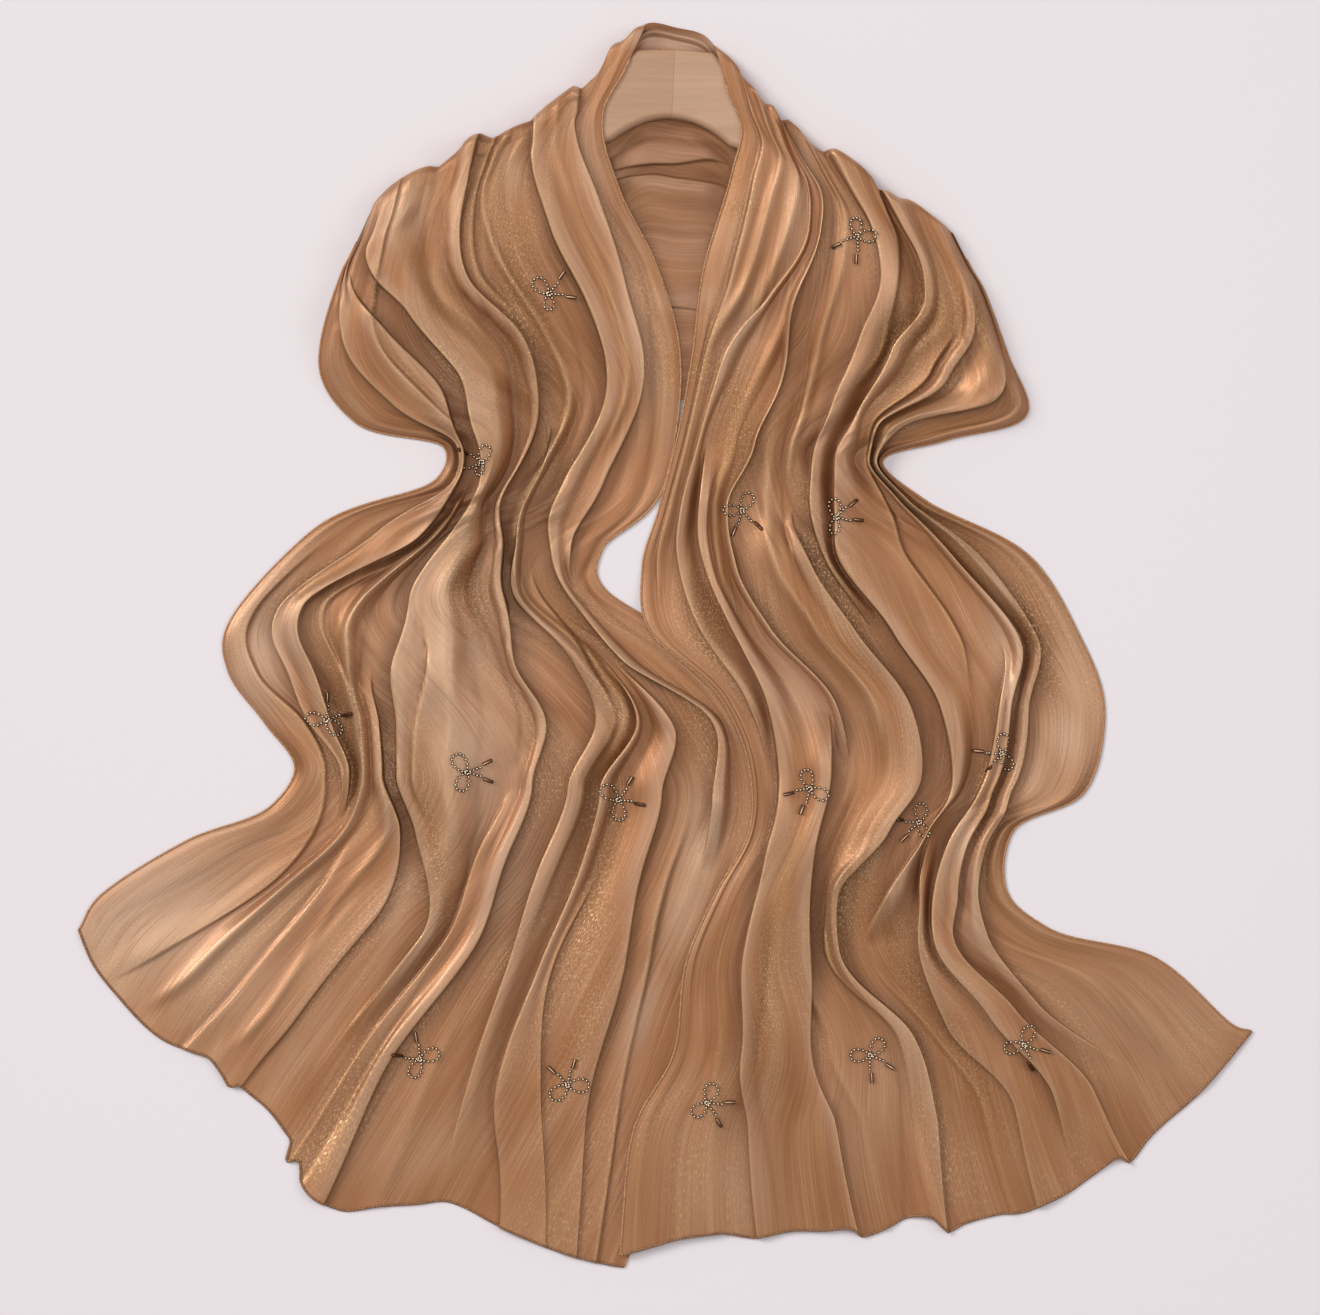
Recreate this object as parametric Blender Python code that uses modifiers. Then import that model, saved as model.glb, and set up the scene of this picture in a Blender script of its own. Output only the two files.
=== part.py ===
"""A long scarf hijab laid flat over a plain wooden hanger yoke.

The cloth is one long gathered rectangle. Its middle lies behind the yoke, and its two
halves come forward over the shoulders as fronts that fall in long S-shaped folds.
Plan positions are in millimetres, turned into metres when a mesh is made.
Z is up from the surface that everything lies on, +Y points to the neck.
"""
import math
from collections import namedtuple

import bmesh
import bpy
import numpy as np

MM = 0.001
SEAM_GAP = 0.3

# Cloth
WALL = 1.2
REST = WALL / 2
ON_CLOTH = WALL + SEAM_GAP + WALL / 2
EDGE_ROUND = 7.0

# Wooden hanger yoke
HANGER_THICK = 11.0
HANGER_LIFT = WALL + SEAM_GAP
ON_HANGER = HANGER_LIFT + HANGER_THICK + SEAM_GAP + WALL / 2
HANGER_TILT = math.radians(-2.5)
HANGER_CENTRE = (9.0, 389.0)
HANGER_EDGE = 3.0

# Plan frame of the layout: the origin is moved to the middle of the whole outline
LAYOUT_CENTRE = (3.45, 7.0)

Station = namedtuple("Station", "name outer_x outer_y inner_x inner_y bow relief inner_lift")
Fold = namedtuple("Fold", "name faces drop width crown reach start end at")

# Left front. Each station is a line across the cloth from its outer to its inner edge.
# bow is how far the line sags towards the hem, relief scales the folds' heights,
# inner_lift is how high the inner edge lies on what is beneath it.
LEFT_STATIONS = (
    #        name          outer edge     inner edge    bow relief lift
    Station("shoulder",   -200, 302,      -8, 428,       2, 0.60, ON_HANGER),
    Station("arm",        -216, 265,     -37, 375,       0, 0.75, ON_HANGER),
    Station("chest",      -231, 195,     -28, 318,       0, 0.90, 8.0),
    Station("breast",     -207, 160,      -2, 265,       0, 1.00, 7.0),
    Station("pinch",      -146, 142,      14, 185,       0, 1.10, 4.0),
    Station("below",      -152, 121,       4, 120,       0, 1.10, REST),
    Station("upper",      -235,  87,     -40,  72,       0, 1.10, REST),
    Station("bulge_top",  -287,  33,     -38,  47,       0, 1.10, REST),
    Station("bulge",      -293, -10,      35,   0,       0, 1.10, REST),
    Station("bulge_low",  -268, -45,      75, -45,       0, 1.00, REST),
    Station("waist",      -248, -75,      88, -100,      0, 1.00, REST),
    Station("waist_low",  -263, -100,     75, -150,      5, 0.90, REST),
    Station("flare",      -320, -124,     50, -220,     25, 0.70, REST),
    Station("flare_low",  -378, -160,     25, -300,     45, 0.50, REST),
    Station("hem",        -395, -185,    -21, -408,     62, 0.30, REST),
)

# A fold's line crosses the stations at these percentages from the outer to the inner edge.
# faces: which way its rolled edge looks, or ridge, or valley. drop and width in mm.
# crown puffs the panel on its inner side, reach moves the hem there, out being plus.
LEFT_FOLDS = (
    Fold("sleeve edge", "outer", 6, 5, 0, 4, "arm", "waist",
         (1.5, 2, 9, 11.5, 4.5, 7.3, 20.5, 11, 11.7, 8.5, 9, 12.3, 13, 8.5, 7)),
    Fold("strand", "inner", 9, 6, 0, 3, "chest", "waist",
         (3, 4, 22.5, 27, 7.4, 10.4, 37, 18.7, 18, 13.5, 11.3, 14, 16.5, 11.5, 9.5)),
    Fold("bulge ridge", "ridge", 9, 7, 0, 0, "upper", "flare_low",
         (5, 6, 26, 29.8, 10, 14, 41.5, 33.5, 24.8, 18.8, 13.8, 15.8, 18.3, 18, 14.5)),
    Fold("groove edge", "inner", 7, 6, 0, -17, "bulge_low", "hem",
         (7, 8, 28.3, 31.7, 11.7, 16.5, 43.8, 41, 29.5, 22.8, 18, 26, 35.5, 35.5, 34.5)),
    Fold("great fold", "outer", 11, 9, 3, -18, "arm", "flare",
         (8.5, 10, 30, 33.2, 13.3, 18.9, 45.7, 46.5, 33.5, 25.7, 20.4, 28.6, 43.8, 43, 41)),
    Fold("bundle", "outer", 5, 6, 1, -1, "waist_low", "hem",
         (24, 30, 42, 48, 32, 28, 60, 66, 56, 51, 44, 42, 48, 46.5, 46.6)),
    Fold("long fold", "inner", 11, 8, 0, 9, "shoulder", "hem",
         (37, 46, 48.5, 56, 39.8, 33.6, 66.3, 72.8, 59.7, 56, 48.4, 48.5, 54, 52, 55)),
    Fold("waist fold", "outer", 8, 7, 1, -14, "below", "flare_low",
         (46, 56, 60, 63, 46, 43, 70, 75, 71, 65, 54.8, 54.6, 60.2, 64.5, 70)),
    Fold("light fold", "outer", 9, 7, 0, -16, "bulge_low", "hem",
         (54, 63, 66, 68, 56, 47, 74, 79, 77.3, 73.2, 61.3, 62.3, 65.6, 69, 80)),
    Fold("flap edge", "inner", 6, 6, 0, -8, "flare", "hem",
         (58, 67, 71, 72, 61, 51, 77, 83, 78.6, 75.5, 66, 66.5, 68.5, 76.5, 88)),
    Fold("centre fold", "inner", 8, 7, 0, 4, "bulge_low", "hem",
         (60, 69.5, 74, 74, 63.5, 53, 79.5, 86, 79.9, 81, 74.5, 75, 81, 84, 93)),
    Fold("crossing fold", "outer", 9, 8, 1, 6, "shoulder", "waist",
         (62, 72, 77, 76.5, 66.8, 55.5, 82, 89, 81.3, 88.3, 84, 86, 89, 90, 95)),
    Fold("collar fold", "inner", 6, 6, 0, 8, "shoulder", "upper",
         (76, 90, 94, 90, 84, 74, 90, 93, 86, 92, 90, 91, 93, 94, 97)),
)

RIGHT_STATIONS = (
    Station("shoulder",    200,  289,     38, 418,      14, 0.60, ON_HANGER),
    Station("arm",         214,  265,     55, 375,       3, 0.75, ON_HANGER),
    Station("chest",       236,  207,     48, 325,       0, 0.90, 8.0),
    Station("breast",      249,  165,     30, 265,       0, 1.00, 7.0),
    Station("upper_pinch", 195,  148,     22, 205,       0, 1.05, 5.0),
    Station("pinch",       151,  133,     12, 150,       0, 1.10, 2.5),
    Station("below",       180,  107,      0, 103,       0, 1.10, REST),
    Station("upper",       252,   68,    -12,  60,       0, 1.10, REST),
    Station("bulge_top",   285,   15,     -8,  20,       0, 1.10, 5.0),
    Station("bulge",       302,  -40,     40, -26,       0, 1.10, 6.0),
    Station("bulge_low",   288,  -92,     60, -72,       0, 1.00, 6.0),
    Station("waist",       240, -118,     60, -120,      0, 1.00, 6.0),
    Station("waist_low",   236, -160,     38, -160,      0, 0.90, 5.5),
    Station("flare_top",   262, -183,     20, -200,      5, 0.80, 5.5),
    Station("flare",       338, -205,      9, -270,     18, 0.60, 5.0),
    Station("flare_low",   388, -249,    -20, -330,     25, 0.45, 4.5),
    Station("hem",         402, -254,    -27, -406,     62, 0.30, 4.0),
)

RIGHT_FOLDS = (
    Fold("cuff edge", "outer", 8, 7, 1, 12, "breast", "flare",
         (1, 1.5, 3, 9.3, 16, 2.5, 6, 12, 9.8, 19.4, 20.5, 7, 9.6, 16, 25.2, 18, 16)),
    Fold("hem point", "outer", 7, 7, 0, 11, "chest", "hem",
         (4, 5, 12, 24, 24, 6, 9.5, 19, 14, 24, 26, 14.5, 16.5, 25.5, 29.8, 24.3, 23.5)),
    Fold("bright ridge", "inner", 9, 7, 0, 8, "bulge", "flare_low",
         (12, 14, 20, 31, 28, 9, 12.5, 23, 19, 28, 30.8, 23.5, 26, 32, 36, 31, 32)),
    Fold("side fold", "inner", 7, 8, 0, 4, "waist_low", "hem",
         (16, 18, 24, 36, 31, 11.5, 15, 26, 25, 32, 34, 30.5, 30.8, 36.5, 44.8, 37.6, 39)),
    Fold("front fold", "inner", 10, 8, 0, -5, "arm", "waist_low",
         (22, 24, 30, 42.8, 35.6, 24, 35, 49.4, 43.7, 43, 39.8, 33.5, 41.7, 50, 48.6, 45, 46)),
    Fold("shoulder fold", "inner", 8, 7, 0, -6, "shoulder", "upper",
         (42, 47.4, 46.8, 52.5, 45.6, 34.5, 44.2, 52.8, 47.6, 46.5, 43.5, 40, 49, 54, 50, 47.5, 49.5)),
    Fold("diagonal fold", "outer", 10, 8, 1, -5, "upper", "hem",
         (53, 58, 60, 61, 52, 41, 50.5, 56.3, 51.5, 50, 48.2, 46.7, 57.4, 57.8, 51.4, 49.9, 52.6)),
    Fold("flap side", "outer", 9, 7, 0, -17, "chest", "bulge",
         (66, 64.7, 67.5, 72, 64.7, 62, 74, 75.4, 71, 69.5, 70, 66, 64, 62, 60, 57, 59)),
    Fold("middle fold", "outer", 9, 8, 1, -13, "bulge_low", "hem",
         (68, 68, 69.3, 75, 68, 65, 76.5, 78.5, 74, 72.5, 75, 73.2, 67.3, 65.8, 72.1, 66.3, 65.2)),
    Fold("long front fold", "inner", 8, 7, 0, -21, "below", "hem",
         (69, 69, 70.2, 77.5, 82, 85.5, 85.9, 84.4, 81, 88.4, 91.5, 92, 86.5, 85.4, 86.8, 81, 80)),
    Fold("centre strand", "inner", 5, 5, 0, -19, "chest", "bulge",
         (70, 71, 72, 80.3, 89.5, 90.3, 92.5, 91, 88.5, 93.6, 94.8, 95.5, 93, 92, 93, 91, 91)),
    Fold("collar pleat", "ridge", 5, 6, 0, -10, "shoulder", "breast",
         (80, 82, 86, 87.5, 94, 94.5, 95.8, 95.2, 94.5, 96.5, 97, 97.3, 96, 96, 96, 95, 95)),
)

# Back stretch: stations run across the neck from left to right, from its upper edge
# (outer) to its lower edge (inner); its folds lie across the neck opening.
BACK_STATIONS = (
    Station("left_end",   -185, 308,    -180, 262,       0, 0.0, REST),
    Station("left_arm",   -117, 351,     -95, 262,       0, 0.0, REST),
    Station("left_neck",   -54, 393,     -45, 205,       0, 0.0, REST),
    Station("left_edge",   -31, 409,     -26, 186,       0, 0.4, REST),
    Station("nape_left",    -8, 429,      -6, 178,       0, 1.0, REST),
    Station("nape",         12, 428,      12, 175,       0, 1.0, REST),
    Station("nape_right",   30, 423,      28, 178,       0, 1.0, REST),
    Station("right_edge",   43, 408,      41, 188,       0, 0.4, REST),
    Station("right_neck",   61, 387,      56, 210,       0, 0.0, REST),
    Station("right_arm",   117, 334,     104, 255,       0, 0.0, REST),
    Station("right_end",   183, 294,     180, 255,       0, 0.0, REST),
)

BACK_FOLDS = (
    Fold("band roll", "ridge", 2, 6, 0, 0, "nape", "nape",
         (4, 4, 3, 3, 2.5, 2.5, 2.5, 3, 3, 4, 4)),
    Fold("band foot", "ridge", 0, 3, 0, 0, "left_edge", "right_edge",
         (7, 7, 6, 6, 5.5, 5, 5.5, 6, 6, 7, 7)),
    Fold("yoke seat", "ridge", 0, 4, 0, 0, "left_edge", "right_edge",
         (29, 29, 29, 28, 28, 28, 28, 28, 29, 29, 29)),
    Fold("under yoke", "inner", 4, 5, 0, 0, "left_edge", "right_edge",
         (36, 36, 38, 39, 41, 40, 41, 41, 39, 36, 36)),
    Fold("first nape fold", "outer", 3, 6, 0, 0, "left_edge", "right_edge",
         (45, 45, 47, 49, 51, 50, 52, 52, 49, 45, 45)),
    Fold("second nape fold", "ridge", 4, 8, 0, 0, "left_edge", "right_edge",
         (56, 56, 58, 60, 61, 60, 61, 62, 60, 56, 56)),
    Fold("third nape fold", "inner", 2, 6, 0, 0, "left_edge", "right_edge",
         (72, 72, 73, 75, 76, 75, 76, 77, 74, 72, 72)),
)

# shelf_full and shelf_gone: how far in from the inner edge the cloth lies fully at its
# inner lift, and from where on not at all. edge_rise: how high the outer edge curls.
Sheet = namedtuple("Sheet", "stations folds side rows shelf_full shelf_gone edge_rise")


def tangents(knots, values, monotone):
    """Slopes of a smooth curve through the values; a monotone curve never overshoots."""
    step = np.diff(knots)
    slope = np.diff(values) / step
    inner = (slope[:-1] * step[1:] + slope[1:] * step[:-1]) / (step[:-1] + step[1:])
    if monotone:
        same = slope[:-1] * slope[1:] > 0
        cap = 2.0 * np.minimum(np.abs(slope[:-1]), np.abs(slope[1:]))
        inner = np.where(same, np.sign(inner) * np.minimum(np.abs(inner), cap), 0.0)
    return np.concatenate(([slope[0]], inner, [slope[-1]]))


def curve(knots, values, at, monotone=True):
    """Values of the smooth curve at the places asked for."""
    knots = np.asarray(knots, float)
    values = np.asarray(values, float)
    slope = tangents(knots, values, monotone)
    place = np.clip(np.searchsorted(knots, at, side="right") - 1, 0, len(knots) - 2)
    step = knots[place + 1] - knots[place]
    t = np.clip((np.asarray(at) - knots[place]) / step, 0.0, 1.0)
    return ((1 + 2 * t) * (1 - t) ** 2 * values[place]
            + t * (1 - t) ** 2 * step * slope[place]
            + t * t * (3 - 2 * t) * values[place + 1]
            + t * t * (t - 1) * step * slope[place + 1])


def smooth(low, high, value):
    """0 below low, 1 above high, soft between."""
    t = np.clip((value - low) / (high - low), 0.0, 1.0)
    return t * t * (3 - 2 * t)


def runs(stations):
    """Distance of each station along the cloth, halfway between its two edges."""
    total = [0.0]
    for last, this in zip(stations, stations[1:]):
        outer = math.hypot(this.outer_x - last.outer_x, this.outer_y - last.outer_y)
        inner = math.hypot(this.inner_x - last.inner_x, this.inner_y - last.inner_y)
        total.append(total[-1] + (outer + inner) / 2)
    return np.array(total)


def columns(stations, at):
    """Outer edge, inner edge, bow, relief and inner lift at each place along the cloth."""
    along = runs(stations)
    edges = [curve(along, [getattr(s, field) for s in stations], at, monotone=False)
             for field in ("outer_x", "outer_y", "inner_x", "inner_y")]
    soft = [curve(along, [getattr(s, field) for s in stations], at)
            for field in ("bow", "relief", "inner_lift")]
    return edges + soft


def fold_strength(stations, fold, at):
    """1 where the fold stands, fading out over the last stretch beyond its stations."""
    along = runs(stations)
    names = [s.name for s in stations]
    first = names.index(fold.start)
    last = names.index(fold.end)
    rise = np.ones_like(at)
    if first > 0:
        rise = smooth(along[first - 1], along[first], at)
    fade = np.ones_like(at)
    if last < len(names) - 1:
        fade = 1.0 - smooth(along[last], along[last + 1], at)
    return rise * fade


def sheet_rows(sheet, at, base):
    """Knots of every cross-section: share of the width, height and hem reach."""
    outer_x, outer_y, inner_x, inner_y, bow, relief, inner_lift = columns(sheet.stations, at)
    width = np.hypot(inner_x - outer_x, inner_y - outer_y)
    along = runs(sheet.stations)
    places = [curve(along, fold.at, at) / 100 for fold in sheet.folds]
    bounds = [np.zeros_like(at)] + places + [np.ones_like(at)]
    ground = base(at)
    hem = smooth(along[-1] - 90, along[-1], at)

    def lift(share):
        edge = smooth(0, 14, share * width)
        shelf = smooth(width - sheet.shelf_gone, width - sheet.shelf_full, share * width)
        low = (REST + (ground - REST) * edge) * (1 - shelf)
        return low + np.maximum(inner_lift, ground) * shelf

    knots = []

    def knot(share, height, reach):
        knots.append((share, lift(share) + height, reach * hem))

    zero = np.zeros_like(at)
    knot(zero, zero, 0.0)
    knot(np.minimum(EDGE_ROUND / width, bounds[1] * 0.5), sheet.edge_rise * relief, 0.0)
    for number, fold in enumerate(sheet.folds):
        here = places[number]
        before = here - bounds[number]
        after = bounds[number + 2] - here
        height = fold.drop * relief * fold_strength(sheet.stations, fold, at)
        near = np.minimum(fold.width / width, 0.4 * before)
        far = np.minimum(fold.width / width, 0.4 * after)
        top = here - near if fold.faces == "inner" else here + far
        foot = here + 0.6 * far if fold.faces == "inner" else here - 0.6 * near
        if fold.faces == "inner":
            knot(top, height, fold.reach)
            knot(here, height * 0.55, fold.reach)
            knot(foot, zero, fold.reach)
        elif fold.faces == "outer":
            knot(foot, zero, fold.reach)
            knot(here, height * 0.55, fold.reach)
            knot(top, height, fold.reach)
        else:
            knot(here - near, 0.25 * height, fold.reach)
            knot(here, height, fold.reach)
            knot(here + far, 0.25 * height, fold.reach)
        if fold.crown:
            middle = here + after / 2
            following = sheet.folds[min(number + 1, len(sheet.folds) - 1)]
            knot(middle, (fold.drop / 2 + fold.crown) * relief
                 * fold_strength(sheet.stations, fold, at), (fold.reach + following.reach) / 2)
    knot(1 - np.minimum(EDGE_ROUND / width, 0.5 * (1 - places[-1])), sheet.edge_rise * 0.5 * relief, 0.0)
    knot(zero + 1, zero, 0.0)

    share = np.stack([k[0] for k in knots], axis=1)
    height = np.stack([k[1] for k in knots], axis=1)
    reach = np.stack([k[2] + zero for k in knots], axis=1)
    chord = np.stack([inner_x - outer_x, inner_y - outer_y], axis=1) / width[:, None]
    down = np.stack([chord[:, 1], -chord[:, 0]], axis=1) * sheet.side
    sag = 4 * bow[:, None] * share * (1 - share) + reach
    x = outer_x[:, None] + share * (inner_x - outer_x)[:, None] + sag * down[:, :1]
    y = outer_y[:, None] + share * (inner_y - outer_y)[:, None] + sag * down[:, 1:]
    return x, y, height, down


# How high the fronts' low places lie, by distance from the shoulder line:
# over the yoke, down past its lower edge to the back stretch, then on the surface
FRONT_BASE_RUN = (0.0, 97.0, 105.0, 132.0, 165.0, 215.0, 250.0, 2000.0)
FRONT_BASE_LIFT = (ON_HANGER, ON_HANGER, ON_HANGER - 1.0, 5.0, ON_CLOTH, ON_CLOTH, REST, REST)

# The roll round the yoke's upper edge: how far in from the shoulder line, and how high
ROLL = ((2.5, 2.1), (0.6, 5.2), (0.0, 9.5))
ROLL_OVER = 5.0


def front_base(at):
    return curve(FRONT_BASE_RUN, FRONT_BASE_LIFT, at)


def flat_base(at):
    return np.full_like(at, REST)


def front_grid(sheet):
    """Points of a front: the roll behind the shoulder line, then the rows down to the hem."""
    along = runs(sheet.stations)
    at = np.concatenate(([0.0], np.linspace(18.0, along[-1], sheet.rows)))
    x, y, z, down = sheet_rows(sheet, at, front_base)
    rolls = []
    crest = z[0] - ON_HANGER
    for inset, height in ROLL:
        out = np.maximum(crest, 0.0) * 0.25
        step = inset - out
        share = (height - ROLL[0][1]) / ON_HANGER
        rolls.append((x[0] + down[0, 0] * step, y[0] + down[0, 1] * step,
                      np.minimum(z[0], height + crest * share)))
    x[0] += down[0, 0] * ROLL_OVER
    y[0] += down[0, 1] * ROLL_OVER
    grid_x = np.vstack([r[0] for r in rolls] + [x])
    grid_y = np.vstack([r[1] for r in rolls] + [y])
    grid_z = np.vstack([r[2] for r in rolls] + [z])
    return grid_x, grid_y, grid_z


def flat_grid(sheet):
    """Points of a sheet with no roll."""
    along = runs(sheet.stations)
    at = np.linspace(0.0, along[-1], sheet.rows)
    x, y, z, _ = sheet_rows(sheet, at, flat_base)
    return x, y, z


def material(name, colour, roughness):
    made = bpy.data.materials.new(name)
    made.use_nodes = True
    shader = made.node_tree.nodes["Principled BSDF"]
    shader.inputs["Base Color"].default_value = (*colour, 1.0)
    shader.inputs["Roughness"].default_value = roughness
    shader.inputs["Metallic"].default_value = 0.0
    return made


def place(x, y):
    """Layout millimetres to metres in the part's own frame."""
    return (x - LAYOUT_CENTRE[0]) * MM, (y - LAYOUT_CENTRE[1]) * MM


def cloth(name, grid, finish, parts):
    """One cloth node: the grid of points as a surface, given its wall by Solidify."""
    x, y, z = grid
    px, py = place(x, y)
    rows, across = x.shape
    mesh = bpy.data.meshes.new(name)
    build = bmesh.new()
    points = [[build.verts.new((px[j, i], py[j, i], z[j, i] * MM)) for i in range(across)]
              for j in range(rows)]
    for j in range(rows - 1):
        for i in range(across - 1):
            build.faces.new((points[j][i], points[j + 1][i], points[j + 1][i + 1], points[j][i + 1]))
    bmesh.ops.recalc_face_normals(build, faces=build.faces)
    build.normal_update()
    if sum(face.normal.z for face in build.faces) < 0:
        bmesh.ops.reverse_faces(build, faces=build.faces)
    build.to_mesh(mesh)
    build.free()
    mesh.shade_smooth()
    thing = bpy.data.objects.new(name, mesh)
    thing.data.materials.append(finish)
    parts.objects.link(thing)
    wall = thing.modifiers.new("wall", "SOLIDIFY")
    wall.thickness = WALL * MM
    wall.offset = 0.0
    wall.use_rim = True
    return thing


# Yoke outline of the left half in its own frame: x from the centre seam, y up
YOKE_TOP = ((0.0, 23.5), (-26.0, 22.0), (-40.0, 10.0), (-52.0, -7.0), (-70.0, -26.0),
            (-110.0, -57.0), (-150.0, -83.0), (-172.0, -96.0))
YOKE_END = (-184.0, -112.0)
YOKE_LOW = ((-174.0, -126.0), (-146.0, -114.0), (-110.0, -92.0), (-74.0, -66.0), (-46.0, -42.0))
ARCH_RISE = -23.5
ARCH_HALF = 42.0


def yoke_outline():
    """Outline of one half: along the top, round the end, back along the arm and the arch."""
    points = list(YOKE_TOP) + [YOKE_END] + list(YOKE_LOW)
    arch_steps = 7
    for step in range(1, arch_steps + 1):
        share = step / arch_steps
        x = -ARCH_HALF * (1 - share)
        drop = (YOKE_LOW[-1][1] - ARCH_RISE) * (x / ARCH_HALF) ** 2
        points.append((x, ARCH_RISE + drop))
    return points


def hanger_half(name, mirror, finish, parts):
    """One half of the yoke: its outline made solid, with eased edges."""
    mesh = bpy.data.meshes.new(name)
    build = bmesh.new()
    ring = []
    for x, y in yoke_outline():
        x = min(x, -SEAM_GAP / 2) * mirror
        turned_x = x * math.cos(HANGER_TILT) - y * math.sin(HANGER_TILT) + HANGER_CENTRE[0]
        turned_y = x * math.sin(HANGER_TILT) + y * math.cos(HANGER_TILT) + HANGER_CENTRE[1]
        px, py = place(turned_x, turned_y)
        ring.append(build.verts.new((px, py, HANGER_LIFT * MM)))
    face = build.faces.new(ring)
    lifted = bmesh.ops.extrude_face_region(build, geom=[face])
    top = [item for item in lifted["geom"] if isinstance(item, bmesh.types.BMVert)]
    bmesh.ops.translate(build, verts=top, vec=(0, 0, HANGER_THICK * MM))
    bmesh.ops.recalc_face_normals(build, faces=build.faces)
    build.to_mesh(mesh)
    build.free()
    thing = bpy.data.objects.new(name, mesh)
    thing.data.materials.append(finish)
    parts.objects.link(thing)
    ease = thing.modifiers.new("eased edges", "BEVEL")
    ease.width = HANGER_EDGE * MM
    ease.segments = 2
    ease.limit_method = "ANGLE"
    ease.angle_limit = math.radians(50)
    return thing


def main():
    for thing in list(bpy.data.objects):
        bpy.data.objects.remove(thing, do_unlink=True)
    parts = bpy.data.collections.new("scarf_on_hanger")
    bpy.context.scene.collection.children.link(parts)
    camel = material("camel_satin", (0.42, 0.24, 0.13), 0.45)
    camel_back = material("camel_satin_back", (0.38, 0.22, 0.13), 0.5)
    beech = material("pale_wood", (0.55, 0.36, 0.22), 0.5)

    left = Sheet(LEFT_STATIONS, LEFT_FOLDS, 1, 30, 20.0, 60.0, 2.2)
    right = Sheet(RIGHT_STATIONS, RIGHT_FOLDS, -1, 30, 48.0, 95.0, 2.2)
    back = Sheet(BACK_STATIONS, BACK_FOLDS, 1, 20, 8.0, 45.0, 0.6)
    cloth("left_front", front_grid(left), camel, parts)
    cloth("right_front", front_grid(right), camel, parts)
    cloth("back_stretch", flat_grid(back), camel_back, parts)
    hanger_half("hanger_left", 1, beech, parts)
    hanger_half("hanger_right", -1, beech, parts)


main()
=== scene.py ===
"""Looks of a long satin hijab scarf laid flat over a plain wooden hanger yoke.

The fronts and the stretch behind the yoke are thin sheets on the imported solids' form, with
the finer creases, the crinkle, the hems and the beaded bows added.
Plan positions are in millimetres of the layout, turned into metres when a mesh is made.
"""
import math
from collections import namedtuple

import bmesh
import bpy
import numpy as np
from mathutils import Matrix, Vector
from mathutils.bvhtree import BVHTree

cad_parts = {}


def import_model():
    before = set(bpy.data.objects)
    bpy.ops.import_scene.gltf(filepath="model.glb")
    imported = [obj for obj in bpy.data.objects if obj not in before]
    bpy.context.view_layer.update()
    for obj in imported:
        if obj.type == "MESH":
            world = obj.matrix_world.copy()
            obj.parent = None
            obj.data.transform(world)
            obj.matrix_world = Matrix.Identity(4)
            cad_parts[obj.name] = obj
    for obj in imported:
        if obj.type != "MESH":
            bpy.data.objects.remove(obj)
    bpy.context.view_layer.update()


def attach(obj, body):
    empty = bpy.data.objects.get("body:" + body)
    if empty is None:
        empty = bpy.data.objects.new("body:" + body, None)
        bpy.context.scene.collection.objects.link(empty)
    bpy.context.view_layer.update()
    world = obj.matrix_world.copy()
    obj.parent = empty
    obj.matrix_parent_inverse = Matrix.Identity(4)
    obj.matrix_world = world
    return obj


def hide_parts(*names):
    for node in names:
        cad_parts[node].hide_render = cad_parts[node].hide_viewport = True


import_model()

# Sizes shared with the solids, in mm. The lifts are those of the middle of the cloth's wall:
# on the surface, on one layer of cloth and on the yoke.
MM = 0.001
SEAM_GAP = 0.3
WALL = 1.2
REST = WALL / 2
ON_CLOTH = WALL + SEAM_GAP + WALL / 2
EDGE_ROUND = 7.0
LIP = 1.8
HANGER_THICK = 11.0
HANGER_LIFT = WALL + SEAM_GAP
ON_HANGER = HANGER_LIFT + HANGER_THICK + SEAM_GAP + WALL / 2
HANGER_TILT = math.radians(-2.5)
HANGER_CENTRE = (9.0, 389.0)
LAYOUT_CENTRE = (3.45, 7.0)
PHOTO_SIZE = (1320, 1315)
PHOTO_MM = 0.68

# Making of the sheets, in mm unless it is a count. A fold or crease has its full painted highlight
# and shade from the drop named FULL on, and crinkle rows are height, step across and step along.
NOISE_SIZE = 257
GRAIN_WIDTH = 360.0
EDGE_RUN = 14
HEM_RUN = 80
LEAST_COLUMNS = 9
DENSITY_SAMPLES = 72
FOLD_FULL = 7.0
CREASE_FULL = 3.0
WANDER = 1.2
LEAN_RUN = (20, 70)
MOST_LEAN = 4.2
CRINKLE = ((0.24, 7.5, 110), (0.13, 3.8, 70), (0.07, 1.9, 34))
SWELL = 1.3
RISE_REACH = 11

# Rolled edges and stitches: a tube is flattened and lifted a little over the cloth
HEM_RADIUS = 0.95
SELVAGE_RADIUS = 0.75
TUBE_SIDES = 7
TUBE_SQUASH = 0.6
TUBE_STEP = 1.6
TUBE_LIFT = 0.25
STITCH_STEP = 2.3
STITCH_LENGTH = 2.0
STITCH_THICK = 0.28
STITCH_LEAN = 0.35
STITCH_DROP = 0.45

# Stage, in metres, and the sensor in mm
FLOOR_HALF = 4.0
CAMERA_HEIGHT = 3.0
SENSOR = 36.0

Station = namedtuple("Station", "name outer_x outer_y inner_x inner_y bow relief inner_lift")
Fold = namedtuple("Fold", "name faces drop width crown start end at")
Crease = namedtuple("Crease", "name faces drop soft start end at")

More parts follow.
